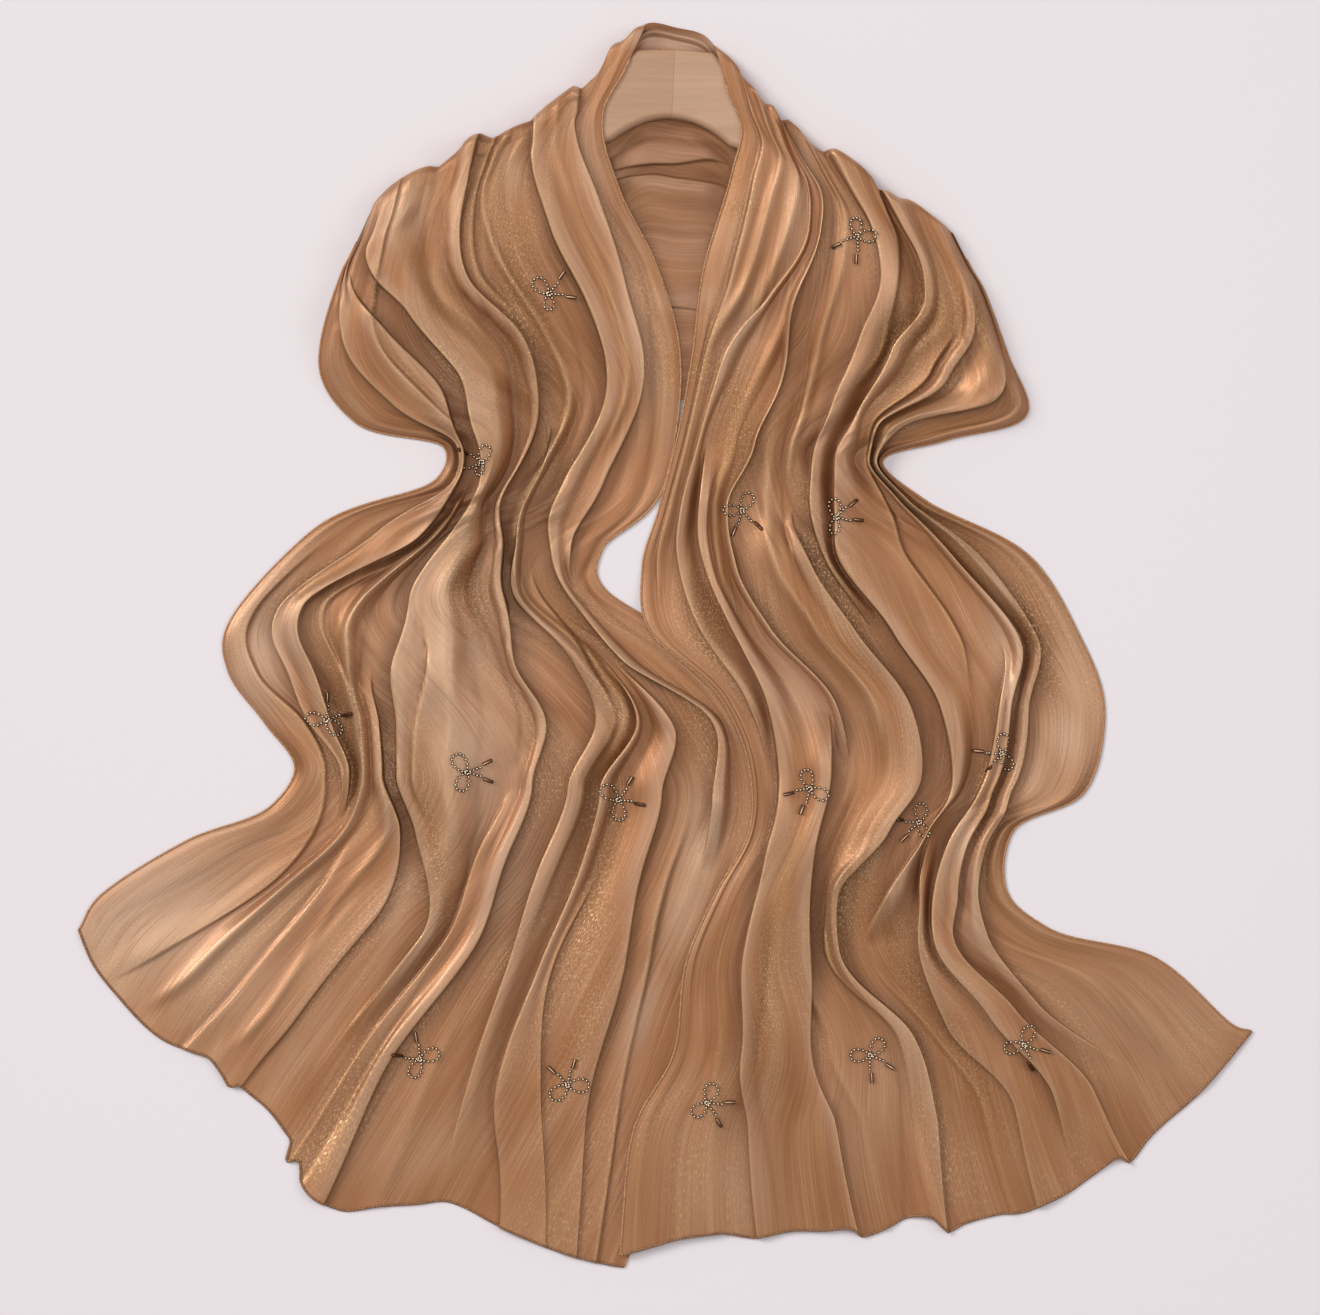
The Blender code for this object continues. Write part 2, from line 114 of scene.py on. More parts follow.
# Left front. Each station is a line across the cloth from its outer to its inner edge.
# bow is how far the line sags towards the hem, relief scales the folds' heights,
# inner_lift is how high the inner edge lies on what is beneath it.
LEFT_STATIONS = (
    #        name          outer edge     inner edge    bow relief lift
    Station("shoulder",   -200, 302,      -8, 428,       0, 0.70, ON_HANGER),
    Station("arm",        -216, 265,     -37, 375,       0, 0.75, ON_HANGER),
    Station("chest",      -231, 195,     -28, 318,       0, 0.90, 8.0),
    Station("breast",     -207, 160,      -2, 265,       0, 1.00, 7.0),
    Station("pinch",      -146, 142,      14, 185,       0, 1.10, 4.0),
    Station("below",      -152, 121,       4, 120,       0, 1.10, REST),
    Station("upper",      -235,  87,     -40,  72,       0, 1.10, REST),
    Station("bulge_top",  -287,  33,     -38,  47,       0, 1.10, REST),
    Station("bulge",      -293, -10,      35,   0,       0, 1.10, REST),
    Station("bulge_low",  -268, -45,      75, -45,       0, 1.00, REST),
    Station("waist",      -248, -75,      88, -100,      0, 1.00, REST),
    Station("waist_low",  -263, -100,     75, -150,      5, 0.90, REST),
    Station("flare",      -320, -124,     50, -220,     25, 0.70, REST),
    Station("flare_low",  -378, -160,     25, -300,     45, 0.50, REST),
    Station("hem",        -395, -185,    -21, -408,     62, 0.30, REST),
)

# A fold's line crosses the stations at these percentages from the outer to the inner edge.
# faces: which way its rolled edge looks, or ridge, or valley. drop and width in mm.
# crown puffs the panel on its inner side.
LEFT_FOLDS = (
    Fold("sleeve edge", "outer", 6, 5, 0, "arm", "waist",
         (1.5, 2, 9, 11.5, 4.5, 7.3, 20.5, 11, 11.7, 8.5, 9, 12.3, 13, 8.5, 7)),
    Fold("strand", "inner", 9, 6, 0, "chest", "waist",
         (3, 4, 22.5, 27, 7.4, 10.4, 37, 18.7, 18, 13.5, 11.3, 14, 16.5, 11.5, 9.5)),
    Fold("bulge ridge", "ridge", 9, 7, 0, "upper", "flare_low",
         (5, 6, 26, 29.8, 10, 14, 41.5, 33.5, 24.8, 18.8, 13.8, 15.8, 18.3, 18, 14.5)),
    Fold("groove edge", "inner", 7, 6, 0, "bulge_low", "hem",
         (7, 8, 28.3, 31.7, 11.7, 16.5, 43.8, 41, 29.5, 22.8, 18, 26, 35.5, 35.5, 34.5)),
    Fold("great fold", "outer", 11, 9, 3, "arm", "flare",
         (8.5, 10, 30, 33.2, 13.3, 18.9, 45.7, 46.5, 33.5, 25.7, 20.4, 28.6, 43.8, 43, 41)),
    Fold("bundle", "outer", 5, 6, 1, "waist_low", "hem",
         (24, 30, 42, 48, 32, 28, 60, 66, 56, 51, 44, 42, 48, 46.5, 46.6)),
    Fold("long fold", "inner", 11, 8, 0, "shoulder", "hem",
         (40.5, 47.2, 50.5, 56, 39.8, 33.6, 66.3, 72.8, 59.7, 56, 48.4, 48.5, 54, 52, 55)),
    Fold("waist fold", "outer", 8, 7, 1, "below", "flare_low",
         (47, 56, 60, 63, 46, 43, 70, 75, 71, 65, 54.8, 54.6, 60.2, 64.5, 70)),
    Fold("light fold", "outer", 9, 7, 0, "bulge_low", "hem",
         (51, 62, 66, 68, 56, 47, 74, 79, 77.3, 73.2, 61.3, 62.3, 65.6, 69, 80)),
    Fold("flap edge", "inner", 6, 6, 0, "flare", "hem",
         (53, 66, 71, 72, 61, 51, 77, 83, 78.6, 75.5, 66, 66.5, 68.5, 76.5, 88)),
    Fold("centre fold", "inner", 8, 7, 0, "bulge_low", "hem",
         (55, 69, 74, 74, 63.5, 53, 79.5, 86, 79.9, 81, 74.5, 75, 81, 84, 93)),
    Fold("crossing fold", "outer", 9, 8, 1, "shoulder", "waist",
         (57, 71, 77, 76.5, 66.8, 55.5, 82, 89, 81.3, 88.3, 84, 86, 89, 90, 95)),
    Fold("collar fold", "inner", 6, 6, 0, "shoulder", "upper",
         (73, 89, 94, 90, 84, 74, 90, 93, 86, 92, 90, 91, 93, 94, 97)),
)

# Finer creases that lie on the folds: soft is how wide their gentle side is, in mm.
LEFT_CREASES = (
    Crease("rim", "inner", 2.2, 9, "bulge_top", "flare_low",
           (3, 3, 5, 6, 2, 4, 8, 5, 5.5, 7, 5.5, 9.3, 15.8, 12.5, 8)),
    Crease("thread edge", "inner", 2.4, 7, "bulge_top", "bulge_low",
           (6, 7, 28, 31, 11, 15, 43, 24, 22.8, 18, 13, 15, 18, 16, 14)),
    Crease("bright crease", "ridge", 1.7, 5, "waist", "flare_low",
           (7, 8, 28, 31.5, 11.5, 16, 43, 38, 28, 22, 17, 23, 27.5, 31, 30)),
    Crease("soft crown", "ridge", 2.6, 15, "shoulder", "waist_low",
           (18, 22, 40, 44, 22.5, 23.5, 54, 57, 45, 37, 32, 35, 46, 46, 46)),
    Crease("sleeve pleat", "inner", 2.6, 9, "shoulder", "breast",
           (14, 17, 19, 21, 10, 13, 40, 24, 22, 18, 13, 15, 18, 16, 14)),
    Crease("sleeve hollow", "valley", 2.2, 7, "shoulder", "chest",
           (25, 31, 39, 43, 26, 26, 57, 62, 50, 44, 38, 40, 48, 47, 47)),
    Crease("hollow", "valley", 3.2, 6, "breast", "bulge_low",
           (33, 42, 44, 50, 31.5, 29, 60, 64.5, 56.3, 50.3, 44, 44, 50, 49, 48)),
    Crease("shoulder lip", "inner", 2.6, 6, "shoulder", "chest",
           (45, 51, 54, 59, 43, 37, 68, 74, 64, 60, 51, 51, 57, 56, 60)),
    Crease("side crease", "ridge", 3.0, 5, "shoulder", "bulge_low",
           (49, 54, 60.5, 62, 52, 41.7, 70, 77.9, 75.8, 70.7, 60, 60, 63.2, 66, 70)),
    Crease("bow crease", "valley", 2.0, 5, "arm", "pinch",
           (54, 61, 67, 69, 58, 49, 75, 81, 77, 73, 61, 62, 65, 69, 80)),
    Crease("collar lip", "ridge", 2.0, 5, "shoulder", "pinch",
           (66, 80, 86, 84, 76, 65, 86, 91, 84, 90, 88, 89, 91, 92, 96)),
    Crease("inner hollow", "valley", 2.4, 5, "breast", "bulge_top",
           (82, 93, 96, 95, 89.5, 92, 98, 94.8, 88, 94, 92, 93, 93, 95, 98)),
    Crease("waist thread", "inner", 2.0, 6, "bulge_top", "waist_low",
           (58, 66, 70, 71, 60, 50, 76, 82, 74, 69, 58, 58, 62, 66, 74)),
    Crease("lap edge", "inner", 2.4, 7, "waist_low", "hem",
           (62, 71, 76, 76, 66, 55, 81, 88, 81, 86, 80, 80, 84.8, 88.7, 96)),
    Crease("corner valley", "valley", 1.8, 9, "flare", "hem",
           (2, 2, 4, 5, 2, 3, 6, 4, 4, 5, 5, 6, 8, 6, 4.5)),
    Crease("corner fold", "outer", 2.6, 10, "flare", "hem",
           (4, 5, 24, 28, 9, 12, 39, 28, 21, 16, 12.5, 17, 24, 25.5, 23.5)),
    Crease("corner pleat", "ridge", 1.3, 7, "flare", "hem",
           (6, 6, 27, 30, 11, 15, 42, 36, 27, 21, 16, 21, 30, 31, 28.5)),
    Crease("hem pleat", "outer", 2.2, 7, "flare_low", "hem",
           (30, 38, 45, 51, 35, 30, 63, 69, 58, 53, 46, 45, 50, 50, 50.5)),
    Crease("panel arc", "outer", 2.4, 9, "bulge", "waist",
           (20, 25, 42, 46, 24, 25, 55, 52, 41.5, 29.5, 23.8, 32, 44, 44, 43)),
    Crease("panel streak", "ridge", 1.3, 8, "upper", "waist_low",
           (22, 28, 44, 48, 26, 27, 57.5, 56, 46, 37, 30, 37, 46, 45.5, 44)),
    Crease("panel hollow", "valley", 1.3, 7, "bulge_top", "waist_low",
           (24, 30, 46, 49, 28, 28, 59, 60, 50.5, 43, 36.5, 40, 47, 46, 45)),
    Crease("hem soft", "ridge", 1.6, 8, "flare_low", "hem",
           (42, 50, 54, 59, 43, 38, 68, 74, 65, 60, 51, 52, 57, 58.5, 62)),
)

RIGHT_STATIONS = (
    Station("shoulder",    200,  289,     38, 418,       0, 0.70, ON_HANGER),
    Station("arm",         214,  265,     55, 375,       3, 0.75, ON_HANGER),
    Station("chest",       236,  207,     48, 325,       0, 0.90, 8.0),
    Station("breast",      249,  165,     30, 265,       0, 1.00, 7.0),
    Station("upper_pinch", 195,  148,     22, 205,       0, 1.05, 5.0),
    Station("pinch",       151,  133,     12, 150,       0, 1.10, 2.5),
    Station("below",       180,  107,      0, 103,       0, 1.10, REST),
    Station("upper",       252,   68,    -12,  60,       0, 1.10, REST),
    Station("bulge_top",   285,   15,     -8,  20,       0, 1.10, 5.0),
    Station("bulge",       302,  -40,     40, -26,       0, 1.10, 6.0),
    Station("bulge_low",   288,  -92,     60, -72,       0, 1.00, 6.0),
    Station("waist",       240, -118,     60, -120,      0, 1.00, 6.0),
    Station("waist_low",   236, -160,     38, -160,      0, 0.90, 5.5),
    Station("flare_top",   262, -183,     20, -200,      5, 0.80, 5.5),
    Station("flare",       338, -205,      9, -270,     18, 0.60, 5.0),
    Station("flare_low",   388, -249,    -20, -330,     25, 0.45, 4.5),
    Station("hem",         402, -254,    -27, -406,     62, 0.30, 4.0),
)

RIGHT_FOLDS = (
    Fold("cuff edge", "outer", 8, 7, 1, "breast", "flare",
         (1, 1.5, 3, 9.3, 16, 2.5, 6, 12, 9.8, 19.4, 20.5, 7, 9.6, 16, 25.2, 18, 16)),
    Fold("hem point", "outer", 7, 7, 0, "chest", "hem",
         (4, 5, 12, 24, 24, 6, 9.5, 19, 14, 24, 26, 14.5, 16.5, 25.5, 29.8, 24.3, 23.5)),
    Fold("bright ridge", "inner", 9, 7, 0, "bulge", "flare_low",
         (12, 14, 20, 31, 28, 9, 12.5, 23, 19, 28, 30.8, 23.5, 26, 32, 36, 31, 32)),
    Fold("side fold", "inner", 7, 8, 0, "waist_low", "hem",
         (16, 18, 24, 36, 31, 11.5, 15, 26, 25, 32, 34, 30.5, 30.8, 36.5, 44.8, 37.6, 39)),
    Fold("front fold", "inner", 10, 8, 0, "shoulder", "waist_low",
         (27, 28, 31, 42.8, 35.6, 24, 35, 49.4, 43.7, 43, 39.8, 33.5, 41.7, 50, 48.6, 45, 46)),
    Fold("shoulder fold", "inner", 8, 7, 0, "shoulder", "upper",
         (49, 48.5, 46.8, 52.5, 45.6, 34.5, 44.2, 52.8, 47.6, 46.5, 43.5, 40, 49, 54, 50, 47.5, 49.5)),
    Fold("diagonal fold", "outer", 10, 8, 1, "upper", "hem",
         (56, 58, 60, 61, 52, 41, 50.5, 56.3, 51.5, 50, 48.2, 46.7, 57.4, 57.8, 51.4, 49.9, 52.6)),
    Fold("flap side", "outer", 9, 7, 0, "shoulder", "bulge",
         (67.5, 66, 67.5, 72, 64.7, 62, 74, 75.4, 71, 69.5, 70, 66, 64, 62, 60, 57, 59)),
    Fold("middle fold", "outer", 9, 8, 1, "bulge_low", "hem",
         (70, 69, 69.3, 75, 68, 65, 76.5, 78.5, 74, 72.5, 75, 73.2, 67.3, 65.8, 72.1, 66.3, 65.2)),
    Fold("long front fold", "inner", 8, 7, 0, "below", "hem",
         (72, 71, 70.5, 77.5, 82, 85.5, 85.9, 84.4, 81, 88.4, 91.5, 92, 86.5, 85.4, 86.8, 81, 80)),
    Fold("centre strand", "inner", 5, 5, 0, "chest", "bulge",
         (75, 74, 72.5, 80.3, 89.5, 90.3, 92.5, 91, 88.5, 93.6, 94.8, 95.5, 93, 92, 93, 91, 91)),
    Fold("collar pleat", "ridge", 5, 6, 0, "shoulder", "breast",
         (80, 82, 86, 87.5, 94, 94.5, 95.8, 95.2, 94.5, 96.5, 97, 97.3, 96, 96, 96, 95, 95)),
)

RIGHT_CREASES = (
    Crease("ring low", "outer", 2.6, 7, "breast", "bulge_top",
           (6, 8, 18, 30, 27, 8, 15.5, 31.5, 28, 34, 33, 25, 28, 34, 40, 34, 35)),
    Crease("ring soft", "ridge", 2.0, 8, "chest", "upper",
           (8, 10, 8, 17, 20, 4.5, 7.5, 16, 12, 21, 23, 11, 13, 21, 27, 21, 20)),
    Crease("sleeve soft", "ridge", 2.2, 10, "shoulder", "pinch",
           (21, 22, 24, 36, 32, 15, 24, 38, 34, 37, 36, 29, 34, 42, 45, 40, 42)),
    Crease("shoulder thread", "outer", 2.8, 6, "shoulder", "breast",
           (30, 34, 40, 45.5, 41, 29, 39, 51, 46, 45, 42, 37, 46, 52, 49, 46, 48)),
    Crease("slit", "valley", 3.0, 3, "arm", "upper",
           (61, 61.5, 63.5, 66.5, 57.5, 47.5, 54, 60.5, 58, 57, 56, 54, 60, 60, 56, 54, 56)),
    Crease("slit side", "ridge", 2.4, 5, "shoulder", "pinch",
           (57, 57, 59, 62.5, 54.5, 44.5, 52, 58.5, 55, 53.5, 52, 50, 58, 58, 53, 51, 54)),
    Crease("soft ridge", "ridge", 2.6, 7, "pinch", "bulge",
           (60, 60, 62, 66, 60, 54.5, 60, 66, 61, 60, 60, 57, 60, 60, 56, 54, 56)),
    Crease("flap roll", "ridge", 2.0, 6, "breast", "upper",
           (67, 66.5, 68.5, 74, 74, 73, 80, 80, 77, 79, 83, 82, 77, 75, 79, 74, 73)),
    Crease("collar crease", "ridge", 2.4, 4, "shoulder", "breast",
           (73, 75.5, 78, 82.5, 88, 88, 90, 88, 86, 91, 93, 93, 90, 89, 90, 86, 86)),
    Crease("collar lip", "inner", 2.0, 5, "shoulder", "upper",
           (88, 90, 92, 92, 95.5, 96, 97, 96.5, 96, 97.5, 98, 98, 97, 97, 97, 96, 96)),
    Crease("panel soft", "ridge", 2.4, 14, "waist", "flare",
           (74, 74, 76, 80, 86, 88, 90, 88, 86, 92, 94, 83, 77, 76, 79.5, 74, 72)),
    Crease("panel valley", "valley", 2.2, 6, "flare_top", "hem",
           (74, 74, 76, 80, 86, 88, 90, 88, 86, 92, 94, 84, 80, 78, 83.7, 78.5, 76)),
    Crease("light line", "ridge", 2.2, 4, "flare", "hem",
           (30, 30, 36, 46, 40, 28, 38, 50, 44, 44, 42, 36, 44, 51, 47.5, 42, 42.4)),
    Crease("corner valley", "valley", 2.0, 7, "flare_low", "hem",
           (32, 32, 38, 48, 42, 30, 40, 52, 46, 46, 44, 38, 46, 53, 50, 46, 47.2)),
    Crease("hem hollow", "valley", 2.2, 6, "flare_low", "hem",
           (60, 60, 62, 66, 60, 54.5, 60, 66, 61, 60, 60, 57, 60, 60, 56, 56, 58.2)),
    Crease("turn edge", "inner", 2.6, 7, "flare_top", "flare",
           (60, 60, 62, 66, 60, 54.5, 60, 66, 61, 60, 60, 57, 60, 61.5, 54.5, 54, 56)),
    Crease("thread line", "ridge", 1.8, 4, "flare_top", "hem",
           (66, 66, 68, 74, 70, 66, 77, 79, 75, 74, 76, 74, 68, 67, 67.8, 62, 61)),
    Crease("inner valley", "valley", 1.8, 5, "flare_low", "hem",
           (90, 90, 92, 94, 96, 96, 97, 96, 95, 97, 98, 97, 96, 95, 94, 92, 92)),
    Crease("inner soft", "ridge", 1.8, 7, "flare", "hem",
           (84, 84, 86, 88, 92, 93, 94, 93, 92, 95, 96, 95, 92, 90, 91, 86.5, 86)),
    Crease("corner soft", "ridge", 1.6, 12, "flare", "hem",
           (2, 2, 4, 6, 8, 2, 4, 6, 6, 10, 10, 4, 6, 9, 14, 10, 8.5)),
)

# How far the cut end reaches past a plain sagging line, in mm, at these percentages from the
# outer to the inner edge, and the sag in mm of that plain line. Tips are ends of pleats.
Reach = namedtuple("Reach", "at out")
LEFT_HEM_SAG = 62.0
LEFT_HEM = (
    Reach(0, 0), Reach(5, 4), Reach(10, 2), Reach(20, -5), Reach(25, -15), Reach(28, -20.5),
    Reach(31, -18), Reach(32.8, -15.5), Reach(34, -21), Reach(38, -21), Reach(43.5, -15.5),
    Reach(45.2, -12), Reach(46.2, 1), Reach(48, -4), Reach(50, 8), Reach(53.7, 13.5),
    Reach(57.7, 12), Reach(62.2, -1), Reach(66.9, -11.5), Reach(71.5, -21), Reach(74, -20),
    Reach(79, -14), Reach(84, -8.5), Reach(94.5, 2.7), Reach(98.5, 6), Reach(100, 7),
)
RIGHT_HEM_SAG = 40.0
RIGHT_HEM = (
    Reach(0, 0), Reach(10, 12), Reach(20, 20), Reach(23.7, 27), Reach(25, 20), Reach(30, 23),
    Reach(35, 26), Reach(40, 26), Reach(45, 20), Reach(50, 18), Reach(52.4, 20), Reach(54.5, 6),
    Reach(58, 2), Reach(60, 4), Reach(64.5, 7), Reach(66.5, -1), Reach(70, -3), Reach(75, -7),
    Reach(80, -6), Reach(85, -12), Reach(90, -11), Reach(95, -6), Reach(100, 0),
)
NO_HEM = (Reach(0, 0), Reach(50, 0), Reach(100, 0))

# Back stretch: stations run across the neck from left to right, from its upper edge
# (outer) to its lower edge (inner); its folds lie across the neck opening.
BACK_STATIONS = (
    Station("left_end",   -180, 300,    -180, 262,       0, 0.0, REST),
    Station("left_arm",   -110, 338,     -95, 262,       0, 0.0, REST),
    Station("left_neck",   -50, 382,     -45, 205,       0, 0.0, REST),
    Station("left_edge",   -30, 404,     -26, 186,       0, 0.4, REST),
    Station("nape_left",    -9, 431,      -6, 178,       0, 0.8, REST),
    Station("nape",         12, 428,      12, 175,       0, 0.8, REST),
    Station("nape_right",   30, 423,      28, 178,       0, 0.8, REST),
    Station("right_edge",   42, 408,      41, 188,       0, 0.4, REST),
    Station("right_neck",   56, 378,      56, 210,       0, 0.0, REST),
    Station("right_arm",   110, 324,     104, 255,       0, 0.0, REST),
    Station("right_end",   178, 286,     180, 255,       0, 0.0, REST),
)

BACK_FOLDS = (
    Fold("band roll", "ridge", 3, 5, 0, "nape_left", "nape_right",
         (4, 4, 3, 3, 2.5, 2.2, 2.5, 3, 3, 4, 4)),
    Fold("band foot", "ridge", 0, 3, 0, "left_edge", "right_edge",
         (7, 7, 6, 6, 5.5, 5, 5.5, 6, 6, 7, 7)),
    Fold("yoke seat", "ridge", 0, 4, 0, "left_edge", "right_edge",
         (25, 25, 25, 25, 26, 25, 26, 25, 25, 25, 25)),
    Fold("upper nape fold", "inner", 3.4, 7, 0, "left_edge", "right_edge",
         (31, 31, 31.5, 33.2, 38.0, 36.6, 34.7, 32.3, 30, 31, 31)),
    Fold("lower nape fold", "outer", 2.6, 6, 0, "left_edge", "right_edge",
         (36, 36, 36, 36.5, 40.6, 40.4, 40.6, 39.6, 39, 37, 37)),
    Fold("soft nape fold", "ridge", 1.4, 14, 0, "left_edge", "right_edge",
         (56, 56, 56, 56, 57, 57, 57, 57, 57, 56, 56)),
    Fold("low nape fold", "inner", 1.2, 8, 0, "left_edge", "right_edge",
         (72, 72, 73, 74, 76, 75, 76, 76, 74, 72, 72)),
)

BACK_CREASES = (
    Crease("yoke shadow line", "valley", 1.0, 3, "left_neck", "right_neck",
           (29, 29, 29.3, 27.6, 29.2, 28.4, 29.8, 30, 31.5, 31, 31)),
    Crease("short nape line", "valley", 1.3, 2.2, "nape_left", "nape",
           (30, 30, 30, 30, 30.8, 29.8, 31.5, 31, 31, 31, 31)),
    Crease("fan line", "valley", 1.6, 3, "nape_right", "right_neck",
           (40, 40, 40, 40, 42, 42, 39.2, 37.2, 35, 37, 37)),
    Crease("band line", "valley", 0.9, 2.0, "nape_left", "nape_right",
           (5, 5, 5, 4.6, 4.0, 3.8, 4.2, 5, 5, 5, 5)),
    Crease("low nape ridge", "ridge", 0.6, 9, "left_edge", "right_edge",
           (65, 65, 66, 66, 67.5, 66.5, 67.5, 67, 67, 65, 65)),
    Crease("last nape ridge", "ridge", 0.6, 10, "left_edge", "right_edge",
           (80, 80, 82, 84, 85, 84, 85, 86, 83, 80, 80)),
)

# shelf_full and shelf_gone: how far in from the inner edge the cloth lies fully at its
# inner lift, and from where on not at all. edge_rise: how high the outer edge curls.
Sheet = namedtuple("Sheet", "stations folds creases side rows across shelf_full shelf_gone "
                            "edge_rise seed hem hem_sag")

# Beaded bows: the knot's place in the photograph's pixels, and the directions in degrees
# of its two loops and two tails, counted from the right, with a loop's size in mm
Bow = namedtuple("Bow", "name at_px at_py loop_a loop_b tail_a tail_b size_a size_b")
BOWS = (
    Bow("breast_left",     549,  295, 135, 272,  55, -8, 13.0, 10.0),
    Bow("shoulder_right",  856,  238,   0,  96, 205, 268, 12.0, 11.5),
    Bow("pinch_left",      483,  463,  75, 250, 150, 195, 11.0,  8.0),
    Bow("flap_right",      742,  510,  62, 182, 316, 250, 12.0, 11.0),
    Bow("side_right",      835,  518,  96, 262,  -6, 40, 12.0, 10.0),
    Bow("bulge_left",      327,  720, 174, 318,  88, 15, 13.0, 12.5),
    Bow("light_panel",     467,  772, 124, 249,  26, -21, 13.5, 12.5),
    Bow("waist_left",      618,  800, 139, 274,  58, -10, 13.5, 13.0),
    Bow("waist_middle",    810,  788, 108, -28, 193, 247, 12.5, 12.0),
    Bow("bulge_right",    1001,  753,  85, -58, 230, 175, 12.5, 12.0),
    Bow("waist_right",     920,  822,  86, -72, 225, 173, 12.0,  9.0),
    Bow("hem_left",        420, 1059,  21, 246, 100, 169, 13.0, 12.5),
    Bow("hem_middle",      568, 1085,   1, 218, 137,  74, 13.5, 13.5),
    Bow("hem_centre",      707, 1102,  71, 221,   2, -60, 13.0, 12.0),
    Bow("hem_right",       870, 1055,  52, 181, 274, -29, 13.0, 12.5),
    Bow("hem_far_right",  1023, 1044,  68, 195, -16, -70, 12.5, 12.5),
)
BEAD = 2.15
BEAD_STEP = 2.5
LOOP_WIDTH = 0.84
KNOT_BEADS = ((1.0, -0.8), (-0.9, 0.8))
TAIL_BEADS = 4
TAIL_BEND = 6
TAIL_START = 2.2
BAR_LENGTH = 7.0
BAR_THICK = 2.5


def tangents(knots, values, monotone):
    """Slopes of a smooth curve through the values; a monotone curve never overshoots."""
    step = np.diff(knots)
    if values.ndim > 1:
        step = step[:, None]
    slope = np.diff(values, axis=0) / step
    inner = (slope[:-1] * step[1:] + slope[1:] * step[:-1]) / (step[:-1] + step[1:])
    if monotone:
        same = slope[:-1] * slope[1:] > 0
        cap = 2.0 * np.minimum(np.abs(slope[:-1]), np.abs(slope[1:]))
        inner = np.where(same, np.sign(inner) * np.minimum(np.abs(inner), cap), 0.0)
    return np.concatenate((slope[:1], inner, slope[-1:]))


def curve(knots, values, at, monotone=True):
    """Values of the smooth curve at the places asked for."""
    knots = np.asarray(knots, float)
    values = np.asarray(values, float)
    slope = tangents(knots, values, monotone)
    place = np.clip(np.searchsorted(knots, at, side="right") - 1, 0, len(knots) - 2)
    step = knots[place + 1] - knots[place]
    t = np.clip((np.asarray(at) - knots[place]) / step, 0.0, 1.0)
    if values.ndim > 1:
        t = t[:, None]
        step = step[:, None]
    return ((1 + 2 * t) * (1 - t) ** 2 * values[place]
            + t * (1 - t) ** 2 * step * slope[place]
            + t * t * (3 - 2 * t) * values[place + 1]
            + t * t * (t - 1) * step * slope[place + 1])


def reach_curve(reaches, share):
    """How far a line reaches out, in mm, at each share across the cloth."""
    out = curve([r.at / 100 for r in reaches], [r.out for r in reaches], share.reshape(-1))
    return out.reshape(share.shape)


def smooth(low, high, value):
    """0 below low, 1 above high, soft between."""
    t = np.clip((value - low) / (high - low), 0.0, 1.0)
    return t * t * (3 - 2 * t)


def bell(offset, width):
    """1 in the middle, falling softly to 0 on both sides."""
    return np.exp(-(offset / width) ** 2)


def noise(u, v, step_u, step_v, seed):
    """Smooth random values from -1 to 1 on a lattice of the given steps."""
    table = np.random.RandomState(seed).rand(NOISE_SIZE, NOISE_SIZE) * 2 - 1
    a = np.asarray(u) / step_u
    b = np.asarray(v) / step_v
    i = np.floor(a).astype(int)
    j = np.floor(b).astype(int)
    fa = a - i
    fb = b - j
    fa = fa * fa * (3 - 2 * fa)
    fb = fb * fb * (3 - 2 * fb)
    i0, i1 = i % NOISE_SIZE, (i + 1) % NOISE_SIZE
    j0, j1 = j % NOISE_SIZE, (j + 1) % NOISE_SIZE
    low = table[i0, j0] * (1 - fa) + table[i1, j0] * fa
    high = table[i0, j1] * (1 - fa) + table[i1, j1] * fa
    return low * (1 - fb) + high * fb


def runs(stations):
    """Distance of each station along the cloth, halfway between its two edges."""
    total = [0.0]
    for last, this in zip(stations, stations[1:]):
        outer = math.hypot(this.outer_x - last.outer_x, this.outer_y - last.outer_y)
        inner = math.hypot(this.inner_x - last.inner_x, this.inner_y - last.inner_y)
        total.append(total[-1] + (outer + inner) / 2)
    return np.array(total)


def columns(stations, at):
    """Outer edge, inner edge, bow, relief and inner lift at each place along the cloth."""
    along = runs(stations)
    edges = [curve(along, [getattr(s, field) for s in stations], at, monotone=False)
             for field in ("outer_x", "outer_y", "inner_x", "inner_y")]
    soft = [curve(along, [getattr(s, field) for s in stations], at)
            for field in ("bow", "relief", "inner_lift")]
    return edges + soft


def fold_strength(stations, fold, at):
    """1 where the fold stands, fading out over the last stretch beyond its stations."""
    along = runs(stations)
    names = [s.name for s in stations]
    first = names.index(fold.start)
    last = names.index(fold.end)
    rise = np.ones_like(at)
    if first > 0:
        rise = smooth(along[first - 1], along[first], at)
    fade = np.ones_like(at)
    if last < len(names) - 1:
        fade = 1.0 - smooth(along[last], along[last + 1], at)
    return rise * fade


